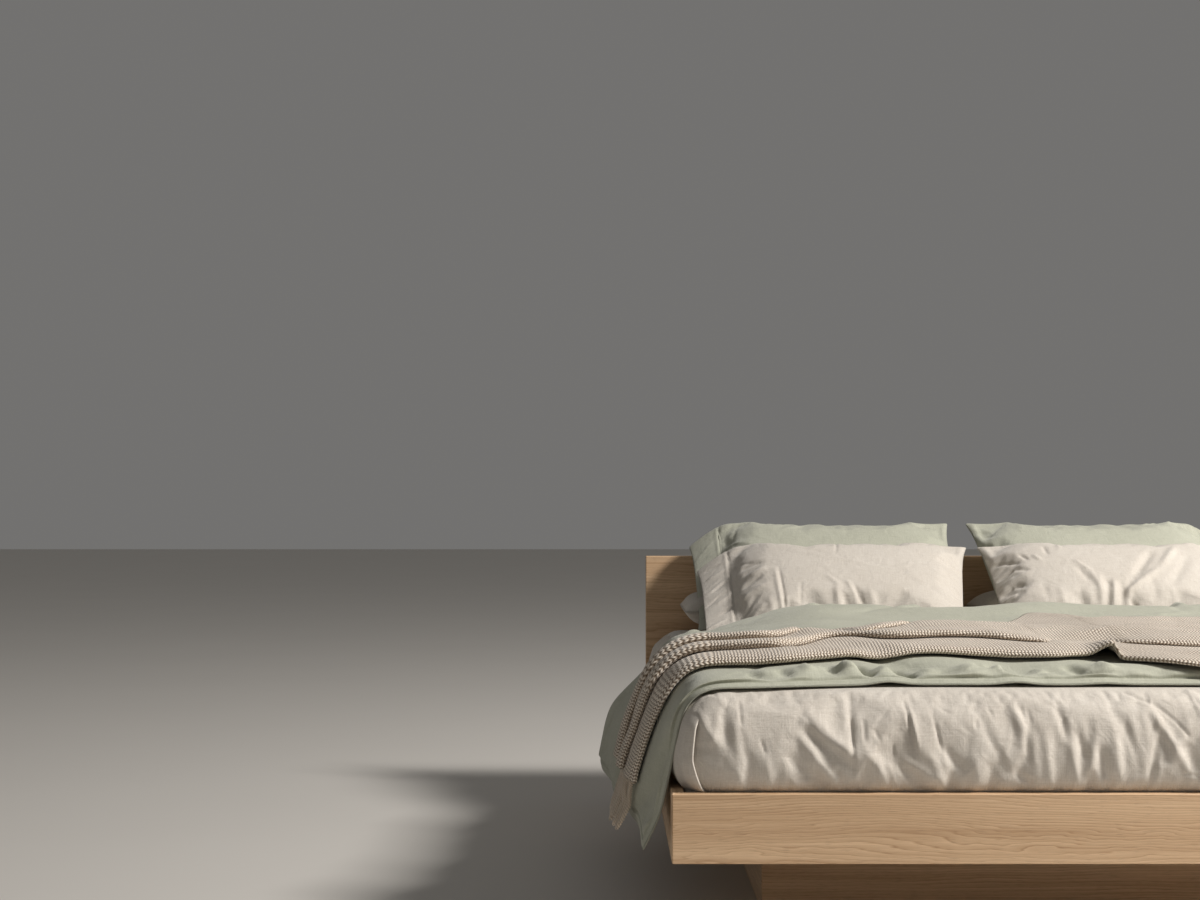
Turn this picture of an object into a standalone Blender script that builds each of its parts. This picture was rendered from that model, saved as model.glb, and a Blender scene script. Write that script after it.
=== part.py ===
"""A low oak platform bed, made up with linen: frame, slats, plinth, mattress, pillows, duvet and throw.

Metres, +Z up. X runs across the bed, the headboard is at +Y and the foot at -Y. The origin is on the floor
under the middle of the frame.
"""

import math

import bmesh
import bpy
from mathutils import Vector

# Clearance between pieces that touch, and between soft pieces that curve over each other
GAP = 0.0003
SOFT_GAP = 0.002

# Frame
BED_WIDTH = 1.85
BED_LENGTH = 2.08
HEADBOARD_THICK = 0.04
HEADBOARD_TOP = 0.738
RAIL_THICK = 0.025
RAIL_HEIGHT = 0.135
PLINTH_HEIGHT = 0.205
RAIL_TOP = PLINTH_HEIGHT + RAIL_HEIGHT
ARRIS = 0.0015

# Plinth, set back under the frame
PLINTH_SIDE_SETBACK = 0.217
PLINTH_FOOT_SETBACK = 0.51
PLINTH_HEAD_SETBACK = 0.24
PLINTH_THICK = 0.022

# Carcass inside the rails
LEDGER_SIDE = 0.03
SLAT_THICK = 0.018
SLAT_WIDTH = 0.09
SLAT_COUNT = 13
SLAT_END_MARGIN = 0.07
SLAT_SIDE_CLEARANCE = 0.002
BEARER_WIDTH = 0.045
BEARER_COUNT = 3
BEARER_INSET = 0.06
SPINE_WIDTH = 0.05
LEDGER_TOP = 0.28

# Mattress
MATTRESS_WIDTH = 1.798
MATTRESS_LENGTH = 2.0
MATTRESS_TOP = 0.53
MATTRESS_ROUND = 0.07
MATTRESS_FOOT_GAP = 0.0025

# Duvet: its thickness along the middle of the bed, over its edge and at the hems
DUVET_THICK = (0.055, 0.082)
DUVET_SIDE_THICK = (0.038, 0.018)
DUVET_HEM_THICK = 0.014
DUVET_HEM_TAPER = 0.05
DUVET_FOOT_TAPER = 0.32
DUVET_SHOULDER = (0.45, 0.84)
DUVET_FOOT = -0.962
DUVET_HEAD = 0.302

# Duvet: how far it lies flat, then how its side leaves the mattress and hangs, at the foot and at the head
DUVET_FLAT = 0.83
DUVET_TURN_RADIUS = 0.0725
DUVET_LEAVE_DEG = (75, 43)
DUVET_HANG_DEG = (86, 84)
DUVET_STRAIGHT = (0.11, 0.10)
DUVET_BEND = 0.15
DUVET_SIDE_FOOT = 0.32
DUVET_SIDE_HEAD = 0.385
DUVET_TIP_DROP = 0.03
DUVET_TIP_REACH = 0.16
DUVET_WAVE = 0.005
DUVET_WAVE_LENGTH = 0.42
DUVET_COLUMNS = 28
DUVET_ROWS = 16
DUVET_FLAT_SHARE = 0.28

# Throw, bunched into rolls that run across the bed over the duvet
THROW_FOOT = -0.82
THROW_HEAD = -0.46
THROW_ROLLS = 3
THROW_THIN = 0.008
THROW_ROLL_HEIGHT = 0.018
THROW_GAP = 0.0035
THROW_COLUMNS = DUVET_COLUMNS - 4
THROW_SPREAD = 0.36
THROW_SPREAD_CENTRE = 0.35
THROW_SPREAD_WIDTH = 0.5

# Fringe on each end of the throw
FRINGE_TASSELS = 12
FRINGE_LENGTH = 0.1
FRINGE_BAR = 0.014
FRINGE_THICK = 0.01
FRINGE_TAPER = 0.5
FRINGE_DROP = 0.002
FRINGE_LIFT = 0.009

# Pillows
PILLOW_WIDTH = 0.755
PILLOW_FLANGE = 0.075
PILLOW_EDGE = 0.006
PILLOW_PULL = 0.05
PILLOW_DROOP = 0.065
PILLOW_DROOP_REACH = 0.11
PILLOW_INNER_END = {"left": -0.045, "right": 0.012}
PILLOW_SWELL = 0.001

OAK = (0.62, 0.43, 0.27)
PINE = (0.72, 0.56, 0.36)
NATURAL_LINEN = (0.66, 0.61, 0.53)
SAGE_LINEN = (0.42, 0.43, 0.35)
BEIGE_KNIT = (0.50, 0.43, 0.35)


def make_material(name, colour, roughness):
    """A plain Principled material in one colour."""
    material = bpy.data.materials.new(name)
    material.use_nodes = True
    shader = material.node_tree.nodes["Principled BSDF"]
    shader.inputs["Base Color"].default_value = (*colour, 1.0)
    shader.inputs["Roughness"].default_value = roughness
    shader.inputs["Metallic"].default_value = 0.0
    material.diffuse_color = (*colour, 1.0)
    return material


def object_from(name, shape, material, place=(0, 0, 0)):
    """Turns a bmesh into a named object of the bed."""
    mesh = bpy.data.meshes.new(name)
    shape.to_mesh(mesh)
    shape.free()
    mesh.materials.append(material)
    made = bpy.data.objects.new(name, mesh)
    made.location = place
    made.parent = BED_ROOT
    BED.objects.link(made)
    return made


def ease(t):
    """Smooth step from 0 to 1."""
    t = min(1.0, max(0.0, t))
    return t * t * (3 - 2 * t)


def mix(a, b, t):
    """Straight blend from a to b."""
    return a + (b - a) * t


def board(name, low, high, material, arris=ARRIS, mitre=None):
    """A board between two corners, its edges eased.

    mitre is (axis, inner, ends): the ends named, -1 or +1 along axis, are cut at 45 degrees towards the side
    of the board that inner, -1 or +1, names on the other plan axis.
    """
    low, high = Vector(low), Vector(high)
    size = high - low
    shape = bmesh.new()
    bmesh.ops.create_cube(shape, size=1.0)
    bmesh.ops.scale(shape, vec=size, verts=shape.verts)
    if mitre:
        axis, inner, ends = mitre
        across = 1 - axis
        for vertex in shape.verts:
            end = 1 if vertex.co[axis] > 0 else -1
            if end in ends and vertex.co[across] * inner > 0:
                vertex.co[axis] -= end * size[across]
    made = object_from(name, shape, material, (low + high) / 2)
    bevel = made.modifiers.new("eased edges", "BEVEL")
    bevel.width = arris
    bevel.segments = 1
    return made


def make_frame(oak, pine):
    """Headboard, rails, ledgers, bearers, spine and slats."""
    half_x, half_y = BED_WIDTH / 2, BED_LENGTH / 2
    board_face = half_y - HEADBOARD_THICK
    board("headboard", (-half_x, board_face, PLINTH_HEIGHT), (half_x, half_y, HEADBOARD_TOP), oak)

    foot_inner = -half_y + RAIL_THICK
    board(
        "rail_foot",
        (-half_x + GAP, -half_y, PLINTH_HEIGHT),
        (half_x - GAP, foot_inner, RAIL_TOP),
        oak,
        mitre=(0, 1, (-1, 1)),
    )
    side_inner = half_x - RAIL_THICK
    for name, side in (("rail_left", -1), ("rail_right", 1)):
        xs = sorted((side * side_inner, side * half_x))
        board(
            name,
            (xs[0], -half_y, PLINTH_HEIGHT),
            (xs[1], board_face - GAP, RAIL_TOP),
            oak,
            mitre=(1, -side, (-1,)),
        )

    head_rail_foot = board_face - RAIL_THICK
    board(
        "rail_head",
        (-side_inner + GAP, head_rail_foot, PLINTH_HEIGHT),
        (side_inner - GAP, board_face - GAP, LEDGER_TOP),
        pine,
    )
    ledger_ends = (foot_inner + GAP, head_rail_foot - GAP)
    for name, side in (("ledger_left", -1), ("ledger_right", 1)):
        xs = sorted((side * (side_inner - GAP), side * (side_inner - GAP - LEDGER_SIDE)))
        board(
            name,
            (xs[0], ledger_ends[0], LEDGER_TOP - LEDGER_SIDE),
            (xs[1], ledger_ends[1], LEDGER_TOP),
            pine,
        )

    # The bearers carry the ledgers' load to the plinth, and the spine runs between them
    bearer_reach = side_inner - 2 * GAP - LEDGER_SIDE
    first = -half_y + PLINTH_FOOT_SETBACK + BEARER_INSET
    last = half_y - PLINTH_HEAD_SETBACK - BEARER_INSET
    centres = [mix(first, last, i / (BEARER_COUNT - 1)) for i in range(BEARER_COUNT)]
    stops = [ledger_ends[0]]
    for number, y in enumerate(centres, 1):
        board(
            f"bearer_{number}",
            (-bearer_reach, y - BEARER_WIDTH / 2, PLINTH_HEIGHT),
            (bearer_reach, y + BEARER_WIDTH / 2, LEDGER_TOP),
            pine,
        )
        stops += [y - BEARER_WIDTH / 2 - GAP, y + BEARER_WIDTH / 2 + GAP]
    stops.append(ledger_ends[1])
    for number in range(BEARER_COUNT + 1):
        board(
            f"spine_{number + 1}",
            (-SPINE_WIDTH / 2, stops[2 * number], PLINTH_HEIGHT),
            (SPINE_WIDTH / 2, stops[2 * number + 1], LEDGER_TOP),
            pine,
        )

    slat_reach = side_inner - SLAT_SIDE_CLEARANCE
    slat_low = LEDGER_TOP + GAP
    for number in range(SLAT_COUNT):
        y = mix(
            ledger_ends[0] + SLAT_END_MARGIN,
            ledger_ends[1] - SLAT_END_MARGIN,
            number / (SLAT_COUNT - 1),
        )
        board(
            f"slat_{number + 1:02d}",
            (-slat_reach, y - SLAT_WIDTH / 2, slat_low),
            (slat_reach, y + SLAT_WIDTH / 2, slat_low + SLAT_THICK),
            pine,
            arris=0.002,
        )


def make_plinth(oak):
    """Four mitred boards on the floor, set back under the frame."""
    x = BED_WIDTH / 2 - PLINTH_SIDE_SETBACK
    foot = -BED_LENGTH / 2 + PLINTH_FOOT_SETBACK
    head = BED_LENGTH / 2 - PLINTH_HEAD_SETBACK
    top = PLINTH_HEIGHT - GAP
    for name, ys, inner in (
        ("plinth_foot", (foot, foot + PLINTH_THICK), 1),
        ("plinth_head", (head - PLINTH_THICK, head), -1),
    ):
        board(name, (-x + GAP, ys[0], 0), (x - GAP, ys[1], top), oak, mitre=(0, inner, (-1, 1)))
    for name, side in (("plinth_left", -1), ("plinth_right", 1)):
        xs = sorted((side * (x - PLINTH_THICK), side * x))
        board(name, (xs[0], foot, 0), (xs[1], head, top), oak, mitre=(1, -side, (-1, 1)))


def make_mattress(linen):
    """The mattress in its sheet: a block with wide round edges, let down between the rails."""
    low_z = LEDGER_TOP + SLAT_THICK + 2 * GAP
    foot = -BED_LENGTH / 2 + RAIL_THICK + MATTRESS_FOOT_GAP
    low = Vector((-MATTRESS_WIDTH / 2, foot, low_z))
    high = Vector((MATTRESS_WIDTH / 2, foot + MATTRESS_LENGTH, MATTRESS_TOP))
    shape = bmesh.new()
    bmesh.ops.create_cube(shape, size=1.0)
    bmesh.ops.scale(shape, vec=high - low, verts=shape.verts)
    made = object_from("mattress", shape, linen, (low + high) / 2)
    rounding = made.modifiers.new("round edges", "BEVEL")
    rounding.width = MATTRESS_ROUND
    rounding.segments = 4
    made.data.shade_smooth()


def two_faced(name, columns, rows, under, over, material):
    """A closed soft shape with an under and an over face, each a function of u and v from -1 to 1."""
    shape = bmesh.new()
    lower = bmesh.ops.create_grid(shape, x_segments=columns, y_segments=rows, size=1.0)["verts"]
    upper = bmesh.ops.create_grid(shape, x_segments=columns, y_segments=rows, size=1.0)["verts"]
    turned = [f for f in shape.faces if all(v in set(lower) for v in f.verts)]
    bmesh.ops.reverse_faces(shape, faces=turned)
    for vertices, face in ((lower, under), (upper, over)):
        for vertex in vertices:
            vertex.co = face(vertex.co.x, vertex.co.y)
    rim = [e for e in shape.edges if e.is_boundary]
    bmesh.ops.bridge_loops(shape, edges=rim)
    bmesh.ops.triangulate(shape, faces=shape.faces)
    bmesh.ops.recalc_face_normals(shape, faces=shape.faces)
    made = object_from(name, shape, material)
    made.data.shade_smooth()
    return made


def side_fall(along, reach):
    """Where the duvet's under face is at a distance reach past the flat top: outward x, z and the angle down.

    along is 0 at the foot and 1 at the head.
    """
    leave = math.radians(mix(*DUVET_LEAVE_DEG, along))
    hang = math.radians(mix(*DUVET_HANG_DEG, along))
    turn_length = leave * DUVET_TURN_RADIUS
    straight = mix(*DUVET_STRAIGHT, along)
    x, z = DUVET_FLAT, MATTRESS_TOP + SOFT_GAP
    steps = 48
    angle = 0.0
    for step in range(steps):
        s = (step + 0.5) / steps * reach
        if s < turn_length:
            angle = s / DUVET_TURN_RADIUS
        else:
            angle = mix(leave, hang, ease((s - turn_length - straight) / DUVET_BEND))
        x += math.cos(angle) * reach / steps
        z -= math.sin(angle) * reach / steps
    return x, z, angle


def duvet_side_length(y):
    """How much duvet hangs past the flat top at y, with a longer tip at the foot corner."""
    along = (y - DUVET_FOOT) / (DUVET_HEAD - DUVET_FOOT)
    tip = DUVET_TIP_DROP * (1 - ease((y - DUVET_FOOT) / DUVET_TIP_REACH))
    return mix(DUVET_SIDE_FOOT, DUVET_SIDE_HEAD, along) + tip


def over_the_bed(across, y, lift):
    """The point lift above the duvet's under face, at the signed distance across from the bed's middle."""
    side = 1 if across > 0 else -1
    reach = abs(across) - DUVET_FLAT
    if reach <= 0:
        return Vector((across, y, MATTRESS_TOP + SOFT_GAP + lift))
    along = (y - DUVET_FOOT) / (DUVET_HEAD - DUVET_FOOT)
    x, z, angle = side_fall(along, reach)
    wave = DUVET_WAVE * ease(reach / DUVET_SIDE_FOOT) * (1 + math.sin(2 * math.pi * y / DUVET_WAVE_LENGTH))
    x += math.sin(angle) * (lift + wave)
    z += math.cos(angle) * (lift + wave)
    return Vector((side * x, y, z))


def across_at(u, y):
    """Turns u from -1 to 1 into a distance across the bed at y, with most columns on the hanging sides."""
    if abs(u) <= DUVET_FLAT_SHARE:
        return u / DUVET_FLAT_SHARE * DUVET_FLAT
    past = (abs(u) - DUVET_FLAT_SHARE) / (1 - DUVET_FLAT_SHARE)
    return math.copysign(DUVET_FLAT + past * duvet_side_length(y), u)


def duvet_top_lift(across, y):
    """The duvet's thickness at a point: fuller towards the pillows, thinner over the edge and at the hems."""
    along = (y - DUVET_FOOT) / (DUVET_HEAD - DUVET_FOOT)
    low, high = DUVET_SHOULDER
    side = mix(*DUVET_SIDE_THICK, along)
    full = mix(mix(*DUVET_THICK, ease(along)), side, ease((abs(across) - low) / (high - low)))
    share = ease((y - DUVET_FOOT) / DUVET_FOOT_TAPER)
    for distance in (DUVET_FLAT + duvet_side_length(y) - abs(across), DUVET_HEAD - y):
        t = min(1.0, max(0.0, distance / DUVET_HEM_TAPER))
        share *= math.sqrt(max(0.0, 1 - (1 - t) ** 2))
    return mix(DUVET_HEM_THICK, full, share)


def make_duvet(sage):
    """The duvet, flat on the mattress and hanging past both rails."""

    def place(u, v):
        # Rows are closer together at the two hems, where the thickness changes
        v = math.sin(v * math.pi / 2) * 0.5 + v * 0.5
        y = mix(DUVET_FOOT, DUVET_HEAD, (v + 1) / 2)
        return across_at(u, y), y

    def under(u, v):
        across, y = place(u, v)
        return over_the_bed(across, y, 0)

    def over(u, v):
        across, y = place(u, v)
        return over_the_bed(across, y, duvet_top_lift(across, y))

    two_faced("duvet", DUVET_COLUMNS, DUVET_ROWS, under, over, sage)


def throw_place(u, v):
    """Where the throw's point u, v lies: its distance across the bed and its y. Its columns are the duvet's."""
    u *= THROW_COLUMNS / DUVET_COLUMNS
    rough = across_at(u, THROW_FOOT)
    hump = math.exp(-(((rough - THROW_SPREAD_CENTRE) / THROW_SPREAD_WIDTH) ** 2))
    foot = THROW_FOOT - 0.02 * math.sin(rough * 2.2)
    y = mix(foot, THROW_HEAD + THROW_SPREAD * hump, (v + 1) / 2)
    return across_at(u, y), y


def make_throw(knit):
    """The throw, in rolls across the bed, with a fringe of tassels at each end."""

    def under(u, v):
        across, y = throw_place(u, v)
        return over_the_bed(across, y, duvet_top_lift(across, y) + THROW_GAP)

    def over(u, v):
        across, y = throw_place(u, v)
        roll = abs(math.sin(THROW_ROLLS * math.pi * (v + 1) / 2))
        rise = THROW_GAP + THROW_THIN + THROW_ROLL_HEIGHT * roll
        return over_the_bed(across, y, duvet_top_lift(across, y) + rise)

    two_faced("throw", THROW_COLUMNS, 4 * THROW_ROLLS, under, over, knit)

    for name, side in (("fringe_left", -1), ("fringe_right", 1)):
        make_fringe(name, side, knit)


def make_fringe(name, side, knit):
    """A bar along the end of the throw with one row of tapering tassels hanging from it."""
    shape = bmesh.new()
    bmesh.ops.create_grid(shape, x_segments=2 * FRINGE_TASSELS, y_segments=1, size=1.0)

    def hang(s, drop):
        """The point at s from 0 to 1 along the throw's end, drop below it over the duvet."""
        across, y = throw_place(side, 2 * s - 1)
        lift = duvet_top_lift(across, y) + THROW_GAP + FRINGE_LIFT
        return over_the_bed(across + side * (FRINGE_DROP + drop), y, lift)

    lower = sorted((e for e in shape.edges if all(v.co.y < 0 for v in e.verts)), key=lambda e: e.verts[0].co.x)
    tassels = bmesh.ops.extrude_edge_only(shape, edges=lower[::2])["geom"]
    tips = {e: e.verts for e in tassels if isinstance(e, bmesh.types.BMEdge) and e.is_boundary}
    loose = [e for e in tips if all(v in tassels for v in e.verts) and len({v.co.y for v in e.verts}) == 1]
    for number, edge in enumerate(sorted(loose, key=lambda e: e.verts[0].co.x)):
        length = FRINGE_LENGTH * (1 + 0.12 * math.sin(number * 2.4))
        middle = sum(v.co.x for v in edge.verts) / 2
        for vertex in edge.verts:
            vertex.co.x = mix(middle, vertex.co.x, FRINGE_TAPER)
            vertex.co.z = length
    for vertex in shape.verts:
        drop = FRINGE_BAR + vertex.co.z if vertex.co.y < 0 else 0
        vertex.co = hang((vertex.co.x + 1) / 2, drop)
    made = object_from(name, shape, knit)
    thicken = made.modifiers.new("thickness", "SOLIDIFY")
    thicken.thickness = FRINGE_THICK
    thicken.offset = 0


def line_point(points, t):
    """The point and direction at t, from 0 to 1, on a smooth curve through four points in the y, z plane."""
    a, b, c, d = (Vector(p) for p in points)
    s = 1 - t
    at = s**3 * a + 3 * s * s * t * b + 3 * s * t * t * c + t**3 * d
    way = 3 * s * s * (b - a) + 6 * s * t * (c - b) + 3 * t * t * (d - c)
    return at, way.normalized()


def pillow_point(line, thick, side, inner_end, u, v, face):
    """A point on a pillow's face, +1 over or -1 under.

    u is -1 at the end by the bed's middle and +1 at the open end of the case, past its flange. v is -1 at the
    edge nearest the foot and +1 at the far edge. line is the curve that the pillow's middle follows.
    """
    body = PILLOW_WIDTH - PILLOW_FLANGE
    x = (u + 1) / 2 * PILLOW_WIDTH
    x = body / 2 + (x - body / 2) * (1 - PILLOW_PULL * (1 - v * v))
    within = min(1.0, max(-1.0, (x - body / 2) / (body / 2)))
    along = (v * (1 - PILLOW_PULL * (1 - min(1.0, within * within))) + 1) / 2
    at, way = line_point(line, along)
    plump = (1 - abs(within) ** 3) ** 0.6 * (1 - abs(v) ** 3) ** 0.6
    half = PILLOW_EDGE / 2 + thick / 2 * plump
    over = Vector((-way[1], way[0]))
    drop = PILLOW_DROOP * max(0.0, (x - body + 0.03) / PILLOW_DROOP_REACH) ** 1.4 * (0.4 + 0.6 * along)
    y = at[0] + over[0] * half * face
    z = at[1] + over[1] * half * face - drop
    floor = MATTRESS_TOP + (GAP if face < 0 else GAP + PILLOW_EDGE)
    return Vector((inner_end + side * x, y, max(z, floor)))


def make_pillow(kind, label, line, thick, material):
    """One pillow in its case, on the left or the right of the bed."""
    side = -1 if label == "left" else 1
    inner_end = PILLOW_INNER_END[label]

    def face_of(face):
        return lambda u, v: pillow_point(line, thick, side, inner_end, u, v, face)

    return two_faced(f"{kind}_{label}", 14, 10, face_of(-1), face_of(1), material)


def cut_clear(pillow, neighbour):
    """Cuts a pillow to the shape of the one it leans on, given as a copy that is swollen here."""
    swell = neighbour.modifiers.new("clearance", "DISPLACE")
    swell.strength = PILLOW_SWELL
    swell.mid_level = 0
    neighbour.hide_render = True
    neighbour.display_type = "WIRE"
    BED.objects.unlink(neighbour)
    CUTTERS.objects.link(neighbour)
    cut = pillow.modifiers.new("rests on " + neighbour.name, "BOOLEAN")
    cut.operation = "DIFFERENCE"
    cut.solver = "EXACT"
    cut.object = neighbour


def make_pillows(linen, sage):
    """A flat pillow, a leaning sage one and a leaning linen one on each side of the bed."""
    base = MATTRESS_TOP + 0.062
    flat_line = ((0.52, base), (0.67, base), (0.82, base), (0.985, base))
    sage_line = ((0.460, 0.575), (0.585, 0.640), (0.77, 0.728), (0.955, 0.828))
    linen_line = ((0.318, 0.553), (0.42, 0.612), (0.56, 0.695), (0.715, 0.768))
    for label in ("left", "right"):
        make_pillow("pillow_flat", label, flat_line, 0.115, linen)
        flat_copy = make_pillow("flat_cutter", label, flat_line, 0.115, linen)
        sage_pillow = make_pillow("pillow_sage", label, sage_line, 0.12, sage)
        sage_copy = make_pillow("sage_cutter", label, sage_line, 0.12, sage)
        linen_pillow = make_pillow("pillow_linen", label, linen_line, 0.13, linen)
        cut_clear(sage_pillow, flat_copy)
        cut_clear(linen_pillow, sage_copy)


for old in list(bpy.data.objects):
    bpy.data.objects.remove(old)
BED = bpy.data.collections.new("platform bed")
CUTTERS = bpy.data.collections.new("cutters")
for collection in (BED, CUTTERS):
    bpy.context.scene.collection.children.link(collection)
BED_ROOT = bpy.data.objects.new("bed_root", None)
BED.objects.link(BED_ROOT)

oak_wood = make_material("oak", OAK, 0.5)
pine_wood = make_material("pine", PINE, 0.6)
natural_linen = make_material("natural_linen", NATURAL_LINEN, 0.9)
sage_linen = make_material("sage_linen", SAGE_LINEN, 0.9)
beige_knit = make_material("beige_knit", BEIGE_KNIT, 0.95)

make_frame(oak_wood, pine_wood)
make_plinth(oak_wood)
make_mattress(natural_linen)
make_pillows(natural_linen, sage_linen)
make_duvet(sage_linen)
make_throw(beige_knit)
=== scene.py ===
"""The looks of the platform bed: oak boards, a linen sheet, duvet and pillows, and a knitted throw.

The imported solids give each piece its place. Soft pieces are shaped from flat grids, and the ones that
wrinkle are settled by short cloth simulations whose result is kept as the piece's mesh.
"""

import logging
import math
from collections.abc import Sequence
from dataclasses import dataclass, field
from enum import Enum

import bmesh
import bpy
import numpy as np
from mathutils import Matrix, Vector, noise


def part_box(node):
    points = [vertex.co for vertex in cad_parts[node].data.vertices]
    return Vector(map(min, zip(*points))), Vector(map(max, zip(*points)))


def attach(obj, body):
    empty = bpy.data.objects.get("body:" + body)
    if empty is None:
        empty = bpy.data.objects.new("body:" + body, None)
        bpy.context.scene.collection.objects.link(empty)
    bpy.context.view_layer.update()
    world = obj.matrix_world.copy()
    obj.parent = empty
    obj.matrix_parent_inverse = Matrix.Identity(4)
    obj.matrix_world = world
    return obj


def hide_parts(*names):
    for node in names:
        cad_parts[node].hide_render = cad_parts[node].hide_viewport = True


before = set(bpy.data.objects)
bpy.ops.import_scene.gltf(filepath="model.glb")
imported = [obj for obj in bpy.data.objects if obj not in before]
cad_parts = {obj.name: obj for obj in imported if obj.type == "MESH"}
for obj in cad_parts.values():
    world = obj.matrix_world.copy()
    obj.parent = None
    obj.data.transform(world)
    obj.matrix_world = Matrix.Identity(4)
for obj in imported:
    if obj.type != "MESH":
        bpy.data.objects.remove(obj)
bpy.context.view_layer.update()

logging.basicConfig(level=logging.INFO, format="%(message)s")
LOG = logging.getLogger("bed")

Array = np.ndarray
Socket = bpy.types.NodeSocket
Colour = tuple[float, float, float]


def srgb(red: int, green: int, blue: int) -> Colour:
    """Turns a colour into the linear numbers that shaders use.

    Args:
        red: From 0 to 255.
        green: From 0 to 255.
        blue: From 0 to 255.

    Returns:
        Three numbers from 0 to 1.
    """
    return tuple(
        c / 12.92 if c <= 0.04045 else ((c + 0.055) / 1.055) ** 2.4
        for c in (red / 255, green / 255, blue / 255)
    )


def ease(t: Array) -> Array:
    """Smooth step of an array from 0 to 1."""
    t = np.clip(t, 0.0, 1.0)
    return t * t * (3 - 2 * t)


def mix(a: Array, b: Array, t: Array) -> Array:
    """Straight blend of two arrays or numbers."""
    return a + (b - a) * t


def ripple(x: Array, y: Array, seed: float, octaves: int = 1) -> Array:
    """Smooth noise on a plane.

    Args:
        x: First coordinate, where 1 is about the width of one bump.
        y: Second coordinate.
        seed: Picks a different pattern.
        octaves: How many finer layers to add.

    Returns:
        Numbers from about -1 to 1, one for each point.
    """
    flat_x, flat_y = np.ravel(np.broadcast_arrays(x, y)[0]), np.ravel(np.broadcast_arrays(x, y)[1])
    out = np.array(
        [noise.fractal((a, b, seed), 0.9, 2.1, octaves) for a, b in zip(flat_x.tolist(), flat_y.tolist())]
    )
    return out.reshape(np.broadcast_shapes(np.shape(x), np.shape(y))) * 1.3


class Grain(Enum):
    """Which axis a board's grain runs along, with the two axes across it."""

    ACROSS_BED = (0, 2, 1)
    ALONG_BED = (1, 2, 0)


# Finishes


class Signal:
    """A value inside a material, where plain arithmetic adds Math nodes."""

    def __init__(self, recipe: "Recipe", socket: Socket) -> None:
        """Wraps an output socket of one of the recipe's nodes."""
        self.recipe, self.socket = recipe, socket

    def __add__(self, other: "Signal | float") -> "Signal":
        """Their sum."""
        return self.recipe.math("ADD", self, other)

    def __sub__(self, other: "Signal | float") -> "Signal":
        """Their difference."""
        return self.recipe.math("SUBTRACT", self, other)

    def __rsub__(self, other: float) -> "Signal":
        """A number less this value."""
        return self.recipe.math("SUBTRACT", other, self)

    def __mul__(self, other: "Signal | float") -> "Signal":
        """Their product."""
        return self.recipe.math("MULTIPLY", self, other)

    def __truediv__(self, other: float) -> "Signal":
        """This value over a number."""
        return self.recipe.math("DIVIDE", self, other)

    def __pow__(self, power: float) -> "Signal":
        """This value to a power."""
        return self.recipe.math("POWER", self, power)

    def swing(self, reach: float) -> "Signal":
        """A 0 to 1 noise as an offset of up to reach either way."""
        return (self - 0.5) * (2 * reach)


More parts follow.
